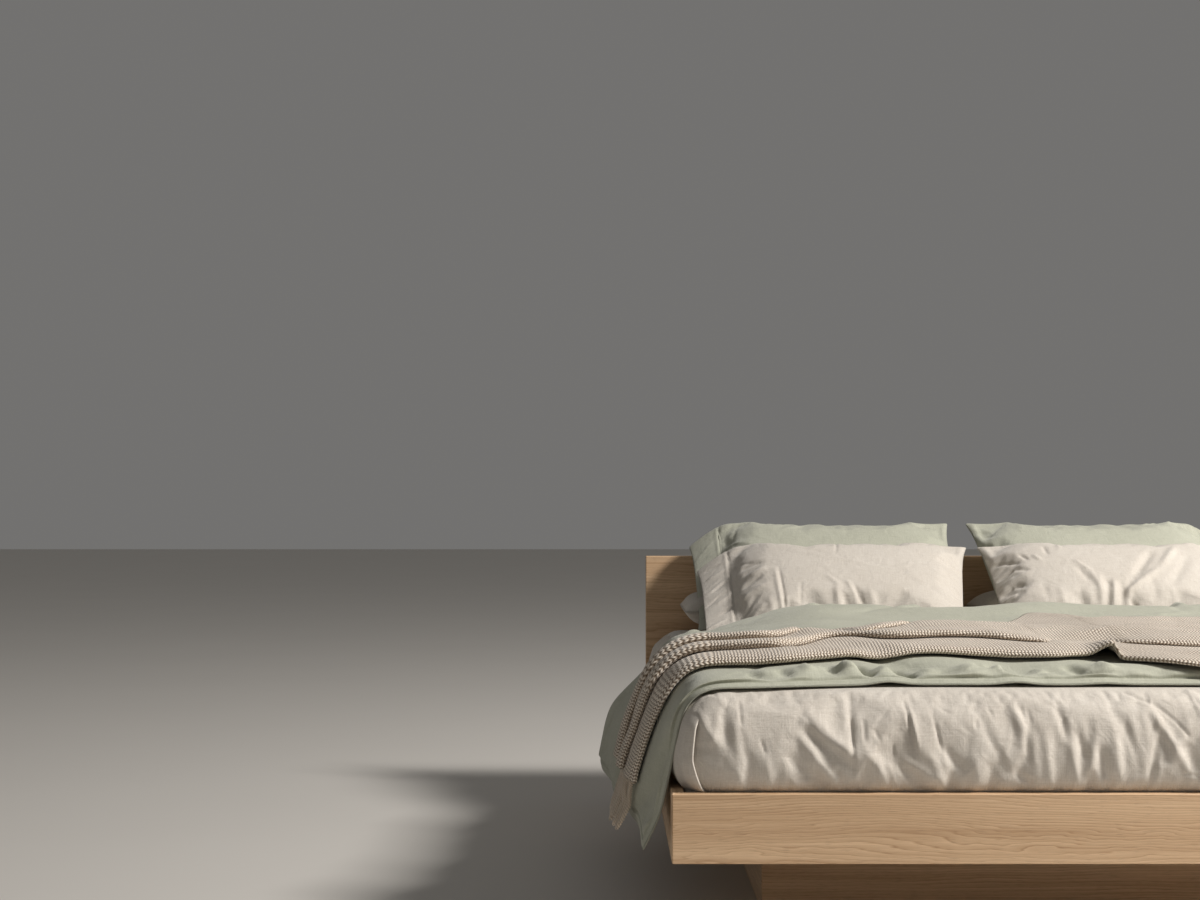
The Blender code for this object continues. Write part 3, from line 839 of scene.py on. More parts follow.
@dataclass
class Mattress:
    """The mattress and the sheet that is tucked round it."""

    core_inset: float = 0.010
    step: float = 0.0265
    falls: int = 7
    round_edge: float = 0.07
    tuck: float = 0.322
    swell: float = 0.022
    rail_gap: float = 0.0008
    rail_over: float = 0.004
    tucked_under: float = 0.339
    fine_band: float = 0.135
    flap: tuple[float, float] = (0.497, 0.324)
    flap_reach: float = 0.16
    flap_lift: float = 0.0115
    flap_thick: float = 0.0042
    flat: tuple[float, float] = (2.30, 2.50)
    area: float = 5.45

    def core(self) -> bpy.types.Object:
        """The mattress in its ticking, a rounded block a little smaller than its solid.

        Returns:
            The mattress.
        """
        low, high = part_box("mattress")
        size = high - low - Vector((2, 2, 1)) * self.core_inset
        shape = bmesh.new()
        bmesh.ops.create_cube(shape, size=1.0)
        bmesh.ops.scale(shape, vec=size, verts=shape.verts)
        middle = (low + high) / 2 - Vector((0, 0, self.core_inset / 2))
        bmesh.ops.translate(shape, vec=middle, verts=shape.verts)
        rounding = {"offset": self.round_edge * 0.9, "segments": 6, "profile": 0.5, "affect": "EDGES"}
        bmesh.ops.bevel(shape, geom=shape.edges, material=-1, **rounding)
        mesh = mesh_of(shape, "mattress")
        points = points_of(mesh)
        give_cloth_map(mesh, points[:, :2] + points[:, 2:] * 0.7)
        ticking = LinenFinish("ticking", TICKING_LIGHT, TICKING_DARK, thread=0.0016).material()
        piece = place_piece("mattress_core", mesh, ticking)
        return piece

    def sheet(self, linen: bpy.types.Material) -> bpy.types.Object:
        """The sheet over the mattress, drawn down its sides and tucked in by the rails.

        Args:
            linen: Its finish.

        Returns:
            The sheet.
        """
        low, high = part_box("mattress")
        size = high - low
        shape = bmesh.new()
        columns, rows = round(size.x / self.step), round(size.y / self.step)
        bmesh.ops.create_grid(shape, x_segments=columns, y_segments=rows, size=1.0)
        for _ in range(self.falls):
            rim = [e for e in shape.edges if e.is_boundary]
            out = bmesh.ops.extrude_edge_only(shape, edges=rim)["geom"]
            moved = [v for v in out if isinstance(v, bmesh.types.BMVert)]
            bmesh.ops.translate(shape, verts=moved, vec=(0, 0, -1))
        band_x, band_y = 1 - self.fine_band / size.x * 2, 1 - self.fine_band / size.y * 2

        def finer(edges: list[bmesh.types.BMEdge], cuts: int) -> None:
            """Cuts edges, and the faces between them, into smaller ones."""
            bmesh.ops.subdivide_edges(shape, edges=edges, cuts=cuts, use_grid_fill=True)

        sides = [e for e in shape.edges if all(abs(v.co.x) > band_x and v.co.y < band_y for v in e.verts)]
        foot = [e for e in shape.edges if all(v.co.y < -band_y for v in e.verts)]
        corner = set(sides) & set(foot)
        finer(foot, 3)
        finer([e for e in sides if e.is_valid and e not in corner], 1)
        bmesh.ops.triangulate(shape, faces=[f for f in shape.faces if len(f.verts) > 4])
        bmesh.ops.recalc_face_normals(shape, faces=shape.faces)
        mesh = mesh_of(shape, "sheet")

        raw = points_of(mesh)
        points, way, unfolded = self.wrap(raw)
        rise = self.folds(points, way, self.big_folds())
        set_points(mesh, points + way * rise[:, None])
        give_cloth_map(mesh, unfolded)
        piece = place_piece("sheet", mesh, linen)
        lies_flat, tucked = way[:, 2] > 0.985, points[:, 2] < self.tucked_under
        crumple = ClothRun(frames=18, grow=0.018, bend=0.05, stretch=20, cap=0.009)
        crumple.settle(piece, lies_flat | tucked)
        finish_with(piece, "SUBSURF", levels=1, render_levels=1)
        points = points_of(piece.data)
        way = self.outward(points)
        rise = self.folds(points, way, self.small_creases())
        set_points(piece.data, self.limit(points + way * rise[:, None]))
        piece.data.shade_smooth()
        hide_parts("mattress")
        return piece

    def wrap(self, raw: Array) -> tuple[Array, Array, Array]:
        """Lays the flat cross of cloth over the mattress.

        Args:
            raw: Places on a square top from -1 to 1, with one unit down for each row of the sides.

        Returns:
            The points, the way out of the mattress at each, and the flat cloth's own coordinates.
        """
        low, high = corners_of("mattress")
        centre, half, r = (low + high)[:2] / 2, (high - low)[:2] / 2 - 0.001, self.round_edge
        top = high[2] + 0.001
        quarter = r * math.pi / 2
        side_step = (quarter - r + top - r - self.tuck) / self.falls
        inner = half - r
        place = raw[:, :2] * half
        core = np.clip(place, -inner, inner)
        off = place - core
        square = np.abs(off).max(axis=1)
        run = square - raw[:, 2] * side_step
        length = np.linalg.norm(off, axis=1)
        way = off / np.maximum(length, 1e-9)[:, None]
        angle = np.minimum(run / r, math.pi / 2)
        out = r * np.sin(angle)
        z = top - r * (1 - np.cos(angle)) - np.maximum(run - quarter, 0)
        points = np.column_stack([centre + core + way * out[:, None], z])
        points[:, 2] += crown_of(points[:, 0], points[:, 1])
        unfolded = core + off / np.maximum(square, 1e-9)[:, None] * run[:, None]
        return points, self.outward(points), unfolded

    def outward(self, points: Array) -> Array:
        """Finds the way out of the mattress.

        Args:
            points: Points on its rounded surface.

        Returns:
            A row of length 1 for each.
        """
        low, high = corners_of("mattress")
        r = self.round_edge
        core = np.clip(points, low + r, high - r)
        core[:, 2] = np.minimum(points[:, 2], high[2] - r)
        away = points - core
        return away / np.maximum(np.linalg.norm(away, axis=1), 1e-9)[:, None]

    def big_folds(self) -> dict[str, Array]:
        """The sheet's soft folds, from the photograph on the left of the foot and drawn by chance elsewhere.

        Returns:
            Rows for relief by side.
        """
        low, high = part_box("mattress")
        levels = (0.33, 0.40)
        right = random_folds(3, (0.0, high.x), levels, 42, (0.003, 0.008), (0.008, 0.015))
        filler = random_folds(4, (low.x, high.x), (0.335, 0.39), 26, (0.001, 0.003), (0.007, 0.012))
        return {
            "foot": np.concatenate([FOOT_FOLDS, right, filler]),
            "left": random_folds(5, (low.y, high.y), levels, 40, (0.002, 0.006), (0.010, 0.018)),
            "right": random_folds(6, (low.y, high.y), levels, 40, (0.002, 0.006), (0.010, 0.018)),
            "head": random_folds(7, (low.x, high.x), levels, 20, (0.001, 0.003), (0.012, 0.018)),
        }

    def small_creases(self) -> dict[str, Array]:
        """The sheet's sharp creases, in the same way.

        Returns:
            Rows for relief by side.
        """
        low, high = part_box("mattress")
        levels = (0.36, 0.48)
        size = {"tall": (0.0012, 0.003), "wide": (0.003, 0.0045), "length": (0.02, 0.07)}
        right = random_folds(13, (0.1, high.x), levels, 26, **size)
        filler = random_folds(14, (low.x, high.x), (0.345, 0.50), 30, (0.0006, 0.0014), (0.0035, 0.006), 0.5)
        return {
            "foot": np.concatenate([FOOT_CREASES, right, filler]),
            "left": random_folds(15, (low.y, high.y), levels, 14, **size),
            "right": random_folds(16, (low.y, high.y), levels, 14, **size),
            "head": np.zeros((0, 6)),
        }

    def folds(self, points: Array, way: Array, strokes: dict[str, Array]) -> Array:
        """How far folds raise each point of the sheet.

        Args:
            points: Points on the sheet.
            way: The way out at each.
            strokes: Folds of each side.

        Returns:
            Heights along the way out.
        """
        x, y, z = points.T
        level = np.hypot(way[:, 0], way[:, 1])
        rise = np.zeros(len(points))
        for side, along, facing in (
            ("foot", x, -way[:, 1]),
            ("head", x, way[:, 1]),
            ("left", y, -way[:, 0]),
            ("right", y, way[:, 0]),
        ):
            share = ease((facing / np.maximum(level, 1e-9) - 0.45) / 0.3) * ease(level / 0.35)
            rise += share * relief(along, z, strokes[side])
        return rise

    def limit(self, points: Array) -> Array:
        """Keeps the sheet between the rails, swells it above them, and lets its top corners at the head sink.

        Args:
            points: The sheet's points.

        Returns:
            The moved points.
        """
        low, high = corners_of("mattress")
        x, y, z = points.T
        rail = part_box("rail_foot")[1].z
        out = points + self.outward(points) * self.bulge(z)[:, None]
        under = z < rail + self.rail_over
        for axis in (0, 1):
            held = np.clip(out[:, axis], low[axis] + self.rail_gap, high[axis] - self.rail_gap)
            out[:, axis] = np.where(under, held, out[:, axis])
        sag = 0.014 * ease((np.abs(x) - 0.62) / 0.2) * ease((y - 0.3) / 0.35) * ease((z - rail) / 0.1)
        out[:, 2] -= sag
        return out

    def bulge(self, z: Array) -> Array:
        """Finds how far the sheet stands out above the rails, which is most below the mattress's shoulder.

        Args:
            z: Heights.

        Returns:
            The distance at each.
        """
        rail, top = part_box("rail_foot")[1].z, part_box("mattress")[1].z
        share = np.clip((z - rail) / (top - 0.02 - rail), 0, 1)
        return self.swell * np.sin(np.pi * share**0.62) ** 1.15

    def corner(self, side: int, linen: bpy.types.Material) -> bpy.types.Object:
        """The folded flap that closes the sheet at a foot corner.

        Args:
            side: -1 for the left corner and 1 for the right.
            linen: Its finish.

        Returns:
            The flap.
        """
        low, high = corners_of("mattress")
        r = self.round_edge
        mesh = flat_grid(44, 34, "flap")
        u, v, _ = points_of(mesh).T
        down = (1 - v) / 2
        z = mix(*self.flap, down)
        edge_x = np.interp(down, (0, 0.1, 0.55, 1), (0.856, 0.867, 0.867, 0.855))
        turn_end = np.arccos(np.clip((edge_x - (high[0] - r)) / r, -1, 1))
        s = mix(-self.flap_reach, turn_end * r, (u + 1) / 2)
        turn = np.clip(s / r, 0, math.pi / 2)
        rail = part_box("rail_foot")[1].z
        near_edge = ease((s - turn_end * r + 0.05) / 0.05)
        lift = mix(-0.001, self.flap_lift, near_edge) * ease(down / 0.22) + self.bulge(z)
        lift += 0.0015 * np.sin(s * 160 + z * 30) * ease(down / 0.3) * (1 - near_edge)
        lift = np.where(z < rail + self.rail_over, np.minimum(lift, 0.0), lift)
        drop_out = np.clip((z - (high[2] - r)) / r, 0, 1)
        radius = r * np.sqrt(1 - drop_out**2) + lift
        x = side * (high[0] - 0.001 - r + np.cos(turn) * radius)
        y = low[1] + 0.001 + r - np.sin(turn) * radius - np.minimum(s, 0)
        set_points(mesh, np.column_stack([x, y, z]))
        give_cloth_map(mesh, np.column_stack([s, z]))
        if side < 0:
            mesh.flip_normals()
        piece = place_piece("sheet_corner_" + ("left" if side < 0 else "right"), mesh, linen)
        finish_with(piece, "SOLIDIFY", thickness=self.flap_thick, offset=0.0)
        sharp = math.radians(50)
        finish_with(piece, "BEVEL", width=0.0012, segments=2, limit_method="ANGLE", angle_limit=sharp)
        piece.data.shade_smooth()
        return piece


@dataclass(frozen=True)
class SideFall:
    """The path of a cover that lies on the mattress, leaves its edge and hangs beside the rail."""

    flat: float = 0.83
    turn_radius: float = 0.0725
    leave: tuple[float, float] = (78, 48)
    hang: tuple[float, float] = (63, 77)
    straight: tuple[float, float] = (0.165, 0.175)
    bend: float = 0.06
    foot: float = -0.962
    head: float = 0.302
    wave: float = 0.005
    wave_length: float = 0.42
    steps: int = 40

    def along(self, y: Array) -> Array:
        """How far y lies from the duvet's foot, 0, to its head, 1."""
        return (y - self.foot) / (self.head - self.foot)

    def at(self, across: Array, y: Array, lift: Array) -> Array:
        """Points above the cover's under face.

        Args:
            across: Signed distance over the cover from the bed's middle.
            y: Distance along the bed.
            lift: Height above the under face, square to it.

        Returns:
            One row for each point.
        """
        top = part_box("mattress")[1].z + 0.003
        along = self.along(y)
        reach = np.maximum(np.abs(across) - self.flat, 0)
        leave = np.radians(mix(self.leave[0], self.leave[1], along))
        hang = np.radians(mix(self.hang[0], self.hang[1], along))
        turn_length = leave * self.turn_radius
        straight = mix(self.straight[0], self.straight[1], along)
        x = np.minimum(np.abs(across), self.flat)
        z = np.full_like(x, top)
        angle = np.zeros_like(x)
        for step in range(self.steps):
            s = (step + 0.5) / self.steps * reach
            turning = s / self.turn_radius
            falling = mix(leave, hang, ease((s - turn_length - straight) / self.bend))
            angle = np.where(s < turn_length, turning, falling)
            x = x + np.cos(angle) * reach / self.steps
            z = z - np.sin(angle) * reach / self.steps
        wave = self.wave * ease(reach / 0.32) * (1 + np.sin(2 * np.pi * y / self.wave_length))
        x = x + np.sin(angle) * (lift + wave)
        z = z + np.cos(angle) * (lift + wave) + crown_of(x, y)
        return np.column_stack([np.sign(across) * x, y, z])


def smooth_curve(at: Array, points: Array, blur: float = 0.02) -> Array:
    """A soft line through control points.

    Args:
        at: Where it is wanted.
        points: Its control points, first coordinate rising.
        blur: How far its corners are rounded.

    Returns:
        The line's second coordinate.
    """
    known_at, known = points.T
    taps = np.linspace(-1.5, 1.5, 7)
    weights = np.exp(-(taps**2))
    total = sum(w * np.interp(at + tap * blur, known_at, known) for tap, w in zip(taps, weights))
    return total / weights.sum()


# Puckers of the duvet's front, drawn from the photograph: from across and distance from the foot hem,
# to the same, then height and width
HEM_PUCKERS = thousandths(
    (-548, 105, -520, 24, -13, 11), (-575, 85, -556, 40, 7, 13), (-498, 80, -488, 36, 8.5, 15),
    (-474, 115, -438, 26, -13, 11), (-415, 80, -395, 40, 6, 20), (-330, 75, -315, 38, 4, 20),
    (-292, 115, -268, 55, -9, 9), (-272, 65, -262, 40, 6.5, 9), (-265, 110, -222, 20, -15, 12),
    (-190, 85, -165, 45, 6.5, 16), (-150, 40, -30, 28, -4, 6), (-120, 95, -95, 40, -6, 12),
    (-60, 80, -35, 40, 5, 16), (-610, 95, -590, 35, -7, 12), (-655, 85, -640, 40, 5, 14),
    (-705, 85, -688, 35, -6, 13), (-765, 80, -745, 40, -5, 12),
)


@dataclass
class Duvet:
    """The sage duvet, with a bound hem, that lies on the bed and hangs at both sides."""

    fall: SideFall = field(default_factory=SideFall)
    foot_steps: tuple[float, ...] = (5, 5, 6, 7, 8, 9, 11, 13, 16, 19, 23, 28)
    row_step: float = 35.0
    side_steps: tuple[float, ...] = (5, 6, 8, 11, 15, 20)
    column_step: float = 27.0
    side_foot: float = 0.335
    side_head: float = 0.405
    hem_thick: float = 0.0125
    hem_width: float = 0.014
    thick: tuple[float, float] = (0.037, 0.090)
    side_thick: tuple[float, float] = (0.036, 0.018)
    shoulder: tuple[float, float] = (0.50, 0.86)
    hem_gaps: tuple = ((-0.49, 0.0075), (-0.235, 0.0065), (-0.06, 0.003), (0.22, 0.006), (0.55, 0.007))
    crease_count: int = 46
    pucker_gain: float = 1.9
    seam: tuple[float, float] = (0.0055, 0.0034)
    edge_wave: float = 0.004
    foot_bow: float = 0.030
    levels: int = 2
    apart: float = 3.0
    grid: tuple[int, int] = (120, 200)
    upper: Array | None = None

    def side_length(self, y: Array) -> Array:
        """How much hangs past the flat top, with a longer tip at the foot corner."""
        tip = 0.032 * (1 - ease((y - self.fall.foot) / 0.16))
        return mix(self.side_foot, self.side_head, self.fall.along(y)) + tip

    def half_width(self, y: Array) -> Array:
        """The distance over the duvet from the bed's middle to its side hem."""
        return self.fall.flat + self.side_length(y)

    def row_table(self) -> Array:
        """Spreads the duvet's rows, closest together at the two hems.

        Returns:
            The share of its length at which each row lies.
        """
        length = (self.fall.head - self.fall.foot) * 1000
        near, far = list(self.foot_steps), list(self.foot_steps[:7])[::-1]
        middle = length - sum(near) - sum(far)
        count = round(middle / self.row_step)
        return np.concatenate([[0], np.cumsum(near + [middle / count] * count + far)]) / length

    def column_table(self) -> Array:
        """Spreads the duvet's columns, closest together at the side hem.

        Returns:
            The share of its half width at which each column lies.
        """
        width = (self.fall.flat + self.side_foot) * 1000
        middle = width - sum(self.side_steps)
        count = round(middle / self.column_step)
        steps = [middle / count] * count + list(self.side_steps[::-1])
        return np.concatenate([[0], np.cumsum(steps)]) / width

    def from_hem(self, across: Array, y: Array) -> Array:
        """The distance to the nearest hem."""
        lengthwise = np.minimum(self.fall.head - y, y - self.fall.foot)
        return np.minimum(lengthwise, self.half_width(y) - np.abs(across))

    def loft(self, across: Array, y: Array) -> Array:
        """Finds the duvet's even thickness, which is thin at its hems.

        Args:
            across: Signed distance over the duvet from the bed's middle.
            y: Distance along the bed.

        Returns:
            The thickness at each point.
        """
        along = self.fall.along(y)
        low, high = self.shoulder
        middle = mix(self.thick[0], self.thick[1], ease(along))
        side = mix(self.side_thick[0], self.side_thick[1], along)
        full = mix(middle, side, ease((np.abs(across) - low) / (high - low)))
        from_foot = y - self.fall.foot
        from_head = self.fall.head - y
        from_side = self.half_width(y) - np.abs(across)

        def swell(distance: Array, reach: float) -> Array:
            """A quarter-round rise from a hem."""
            t = np.clip((distance - self.hem_width) / reach, 0, 1)
            return np.sqrt(1 - (1 - t) ** 2)

        steep = mix(0.52, 0.30, ease((np.abs(across) - 0.55) / 0.3))
        fill = steep * swell(from_foot, 0.085) + (1 - steep) * ease(from_foot / 0.32)
        nearest = np.minimum(np.minimum(from_foot, from_head), from_side)
        hem = self.hem_thick * (0.5 + 0.5 * ease(nearest / 0.012))
        return mix(hem, full, fill * swell(from_head, 0.06) * swell(from_side, 0.06))

    def puffs(self, across: Array, y: Array) -> Array:
        """Finds the uneven filling's broad swells.

        Args:
            across: Signed distance over the duvet from the bed's middle.
            y: Distance along the bed.

        Returns:
            The height of each point.
        """
        top = 1 - ease((np.abs(across) - 0.80) / 0.12)
        puff = ripple(across * 2.1, y * 5.0, 11.0, 2) * 0.0095 * mix(0.35, 1.0, top)
        puff += ripple(across * 5.0 + y * 2, y * 9.0, 4.0, 2) * 0.0045 * mix(0.3, 1.0, top)
        return puff * ease((self.from_hem(across, y) - self.hem_width) / 0.07)

    def puckers(self, across: Array, y: Array) -> Array:
        """Puckers the hems, the foot hem from the photograph on its left and the others by chance.

        Args:
            across: Signed distance over the duvet from the bed's middle.
            y: Distance along the bed.

        Returns:
            The height of each point.
        """
        tall, wide, length = (0.005, 0.012), (0.010, 0.016), (0.04, 0.08)
        chance = random_folds(21, (0.25, 0.86), (0.025, 0.04), 14, tall, wide, 0.35, length)
        rise = relief(across, y - self.fall.foot, np.concatenate([HEM_PUCKERS, chance]))
        span = (self.fall.foot + 0.1, self.fall.head - 0.1)
        tall, wide, length = (0.001, 0.0035), (0.010, 0.018), (0.04, 0.12)
        for side in (-1, 1):
            folds = random_folds(22 + side, span, (0.03, 0.05), 9, tall, wide, 0.3, length)
            rise += relief(y, self.half_width(y) - side * across, folds)
        tall, wide, length = (0.002, 0.006), (0.012, 0.022), (0.05, 0.14)
        folds = random_folds(25, (-0.8, 0.8), (0.02, 0.06), 9, tall, wide, 0.5, length)
        return rise + relief(across, self.fall.head - y, folds)

    def creases(self, across: Array, y: Array) -> Array:
        """Draws long soft creases on the lying part, which run askew across the bed.

        Args:
            across: Signed distance over the duvet from the bed's middle.
            y: Distance along the bed.

        Returns:
            The height of each point.
        """
        draw = np.random.default_rng(31)
        count = self.crease_count
        middle_x, middle_y = draw.uniform(-0.85, 0.85, count), draw.uniform(-0.9, 0.26, count)
        angle = draw.normal(0.5, 0.5, count) * np.sign(draw.uniform(-0.4, 1, count))
        half = draw.uniform(0.05, 0.15, count)
        tall = draw.uniform(0.0015, 0.0042, count) * np.where(np.arange(count) % 2, 1, -1)
        wide = draw.uniform(0.010, 0.020, count)
        run_x, run_y = np.cos(angle) * half, np.sin(angle) * half
        start, end = (middle_x - run_x, middle_y - run_y), (middle_x + run_x, middle_y + run_y)
        strokes = np.stack([*start, *end, tall, wide], 1)
        return relief(across, y, strokes) * ease((self.from_hem(across, y) - 0.02) / 0.05)

    def build(self, sage: bpy.types.Material) -> bpy.types.Object:
        """Shapes the duvet.

        Args:
            sage: Its finish.

        Returns:
            The duvet.
        """
        row_places, column_places = self.row_table(), self.column_table()
        rows, half = len(row_places) - 1, len(column_places) - 1
        mesh = spread_grid(2 * half, rows, 1)
        u, v, layer = points_of(mesh).T
        along = np.interp((v + 1) / 2 * rows, np.arange(rows + 1), row_places)
        y = mix(self.fall.foot, self.fall.head, along)
        share = np.sign(u) * np.interp(np.abs(u) * half, np.arange(half + 1), column_places)
        across = share * self.half_width(y)
        lift = self.loft(across, y) + self.puffs(across, y)
        rim = 0.4 * self.hem_thick * np.sin(np.pi * np.clip(layer, 0, 1))
        across_out = across + np.where(np.abs(u) > 0.9999, np.sign(u) * rim, 0)
        y_out = y + np.where(np.abs(v) > 0.9999, np.sign(v) * rim, 0)
        edge_wave = self.edge_wave * ripple(across * 4, y * 4, 2.0) * ease((np.abs(v) - 0.9) / 0.1)
        bow = self.foot_bow * ease((0.86 - np.abs(across)) / 0.4) * (1 - ease((y - self.fall.foot) / 0.3))
        y_out = y_out + edge_wave * np.sign(v) + bow
        foot_hem = 1 - ease((y - self.fall.foot) / 0.05)
        gaps = sum(tall * np.exp(-(((across - at) / 0.028) ** 2)) for at, tall in self.hem_gaps)
        under = np.maximum(0.0015 * ripple(across * 5, y * 5, 9.0), 0) + (0.0012 + gaps) * foot_hem
        lift = lift + gaps * foot_hem
        set_points(mesh, self.fall.at(across_out, y_out, mix(under, lift, layer)))
        give_cloth_map(mesh, np.column_stack([across, y + layer * self.apart]))
        note_places(mesh, np.column_stack([across, y, layer]))
        piece = place_piece("duvet_cover", mesh, sage)
        held = (layer < 0.99) | (self.from_hem(across, y) < self.hem_width + 0.006)
        puff = ClothRun(frames=14, pressure=0.3, grow=0.03, bend=0.2, stretch=15, cap=0.009)
        puff.settle(piece, held)
        refine(piece, self.levels)
        self.sew(piece)
        piece.data.shade_smooth()
        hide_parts("duvet")
        return piece

    def sew(self, piece: bpy.types.Object) -> None:
        """Draws in the hem's seam, its puckers and the long creases, and surveys the upper side.

        Args:
            piece: The settled and subdivided duvet.
        """
        across, y, layer = read_places(piece.data)
        over = ease((layer - 0.7) / 0.28)
        nearest = self.from_hem(across, y)
        folds = self.pucker_gain * self.puckers(across, y) + self.creases(across, y)
        deep, wide = self.seam
        groove = deep * np.exp(-(((nearest - self.hem_width - 0.002) / wide) ** 2))
        push_along(piece.data, (folds * ease((nearest - 0.012) / 0.02) - groove) * over)
        shown = layer > 0.97
        self.upper = self.survey(points_of(piece.data)[shown], across[shown], y[shown])

    def survey(self, points: Array, across: Array, y: Array) -> Array:
        """Measures the settled upper side above the bare fall on an even grid.

        Args:
            points: Vertices of the upper side.
            across: Their distances across.
            y: Their places along.

        Returns:
            Heights, a row for each step along and a column for each step across.
        """
        zero = np.zeros_like(y)
        ground = self.fall.at(across, y, zero)
        way = self.fall.at(across, y, zero + 1) - ground
        height = ((points - ground) * way).sum(1)
        row = np.round(np.clip(self.fall.along(y), 0, 1) * self.grid[0]).astype(int)
        column = np.round(np.clip((across / self.half_width(y) + 1) / 2, 0, 1) * self.grid[1]).astype(int)
        total, hits = np.zeros((2, self.grid[0] + 1, self.grid[1] + 1))
        np.add.at(total, (row, column), height)
        np.add.at(hits, (row, column), 1)
        for _ in range(40):
            if (hits > 0).all():
                break
            for axis in (0, 1):
                for step in (-1, 1):
                    near_total, near_hits = np.roll(total, step, axis), np.roll(hits, step, axis)
                    empty = (hits == 0) & (near_hits > 0)
                    total[empty], hits[empty] = near_total[empty], near_hits[empty]
        out = total / np.maximum(hits, 1)
        for _ in range(3):
            padded = np.pad(out, 1, mode="edge")
            around = padded[:-2, 1:-1] + padded[2:, 1:-1] + padded[1:-1, :-2] + padded[1:-1, 2:]
            out = np.maximum(out, around / 4)
        return out

    def top_at(self, across: Array, y: Array) -> Array:
        """Reads the survey for what lies on the duvet.

        Args:
            across: Signed distance over the duvet from the bed's middle.
            y: Distance along the bed.

        Returns:
            The height of the settled upper side above the bare fall.
        """
        row = np.clip(self.fall.along(y), 0, 0.9999) * self.grid[0]
        column = np.clip((across / self.half_width(y) + 1) / 2, 0, 0.9999) * self.grid[1]
        r, c = row.astype(int), column.astype(int)
        fr, fc = row - r, column - c
        g = self.upper
        return mix(mix(g[r, c], g[r, c + 1], fc), mix(g[r + 1, c], g[r + 1, c + 1], fc), fr)


# Where each of the throw's rolls has its nose, and where the cloth ends: from across to y, left to right
ROLL_LINES = (
    thousandths(
        (-1100, -815), (-900, -818), (-695, -848), (-620, -822), (-550, -806), (-490, -790), (-440, -796),
        (-380, -794), (-260, -790), (-200, -806), (-130, -818), (-70, -800), (-20, -820), (20, -850),
        (70, -892), (110, -915), (175, -935), (350, -938), (550, -900), (700, -850), (850, -815),
        (1100, -810),
    ),
    thousandths(
        (-1100, -700), (-830, -705), (-740, -735), (-690, -735), (-646, -675), (-600, -610), (-560, -575),
        (-505, -585), (-457, -632), (-410, -640), (-340, -632), (-260, -640), (-200, -662), (-130, -670),
        (-90, -680), (0, -640), (60, -650), (100, -680), (175, -700), (350, -690), (550, -705), (830, -700),
        (1100, -700),
    ),
    thousandths(
        (-1100, -590), (-830, -590), (-740, -615), (-695, -605), (-650, -545), (-610, -480), (-560, -510),
        (-510, -575), (-470, -570), (-420, -520), (-360, -460), (-300, -460), (-100, -480), (100, -480),
        (300, -490), (500, -520), (650, -560), (830, -585), (1100, -585),
    ),
    thousandths(
        (-1100, -475), (-830, -465), (-695, -450), (-550, -425), (-447, -405), (-260, -360), (-150, -310),
        (-70, -200), (-20, -75), (20, -50), (60, -110), (100, -180), (175, -215), (350, -200), (550, -280),
        (700, -380), (830, -440), (1100, -460),
    ),
)
# How high each roll's nose stands, in the same form; where it is 0 the roll has run out
ROLL_HEIGHTS = (
    thousandths(
        (-1100, 18), (-700, 20), (-600, 19), (-400, 16), (-200, 17), (-80, 15), (20, 12), (100, 11),
        (350, 12), (600, 16), (800, 18), (1100, 18),
    ),
    thousandths(
        (-1100, 21), (-700, 23), (-620, 19), (-540, 12), (-500, 13), (-440, 19), (-220, 18), (-130, 13),
        (-85, 0), (20, 0), (60, 8), (120, 12), (350, 11), (600, 16), (800, 18), (1100, 18),
    ),
    thousandths(
        (-1100, 21), (-760, 21), (-690, 19), (-640, 13), (-600, 0), (-535, 0), (-500, 11), (-440, 12),
        (-385, 8), (-340, 0), (500, 0), (620, 12), (800, 17), (1100, 17),
    ),
)


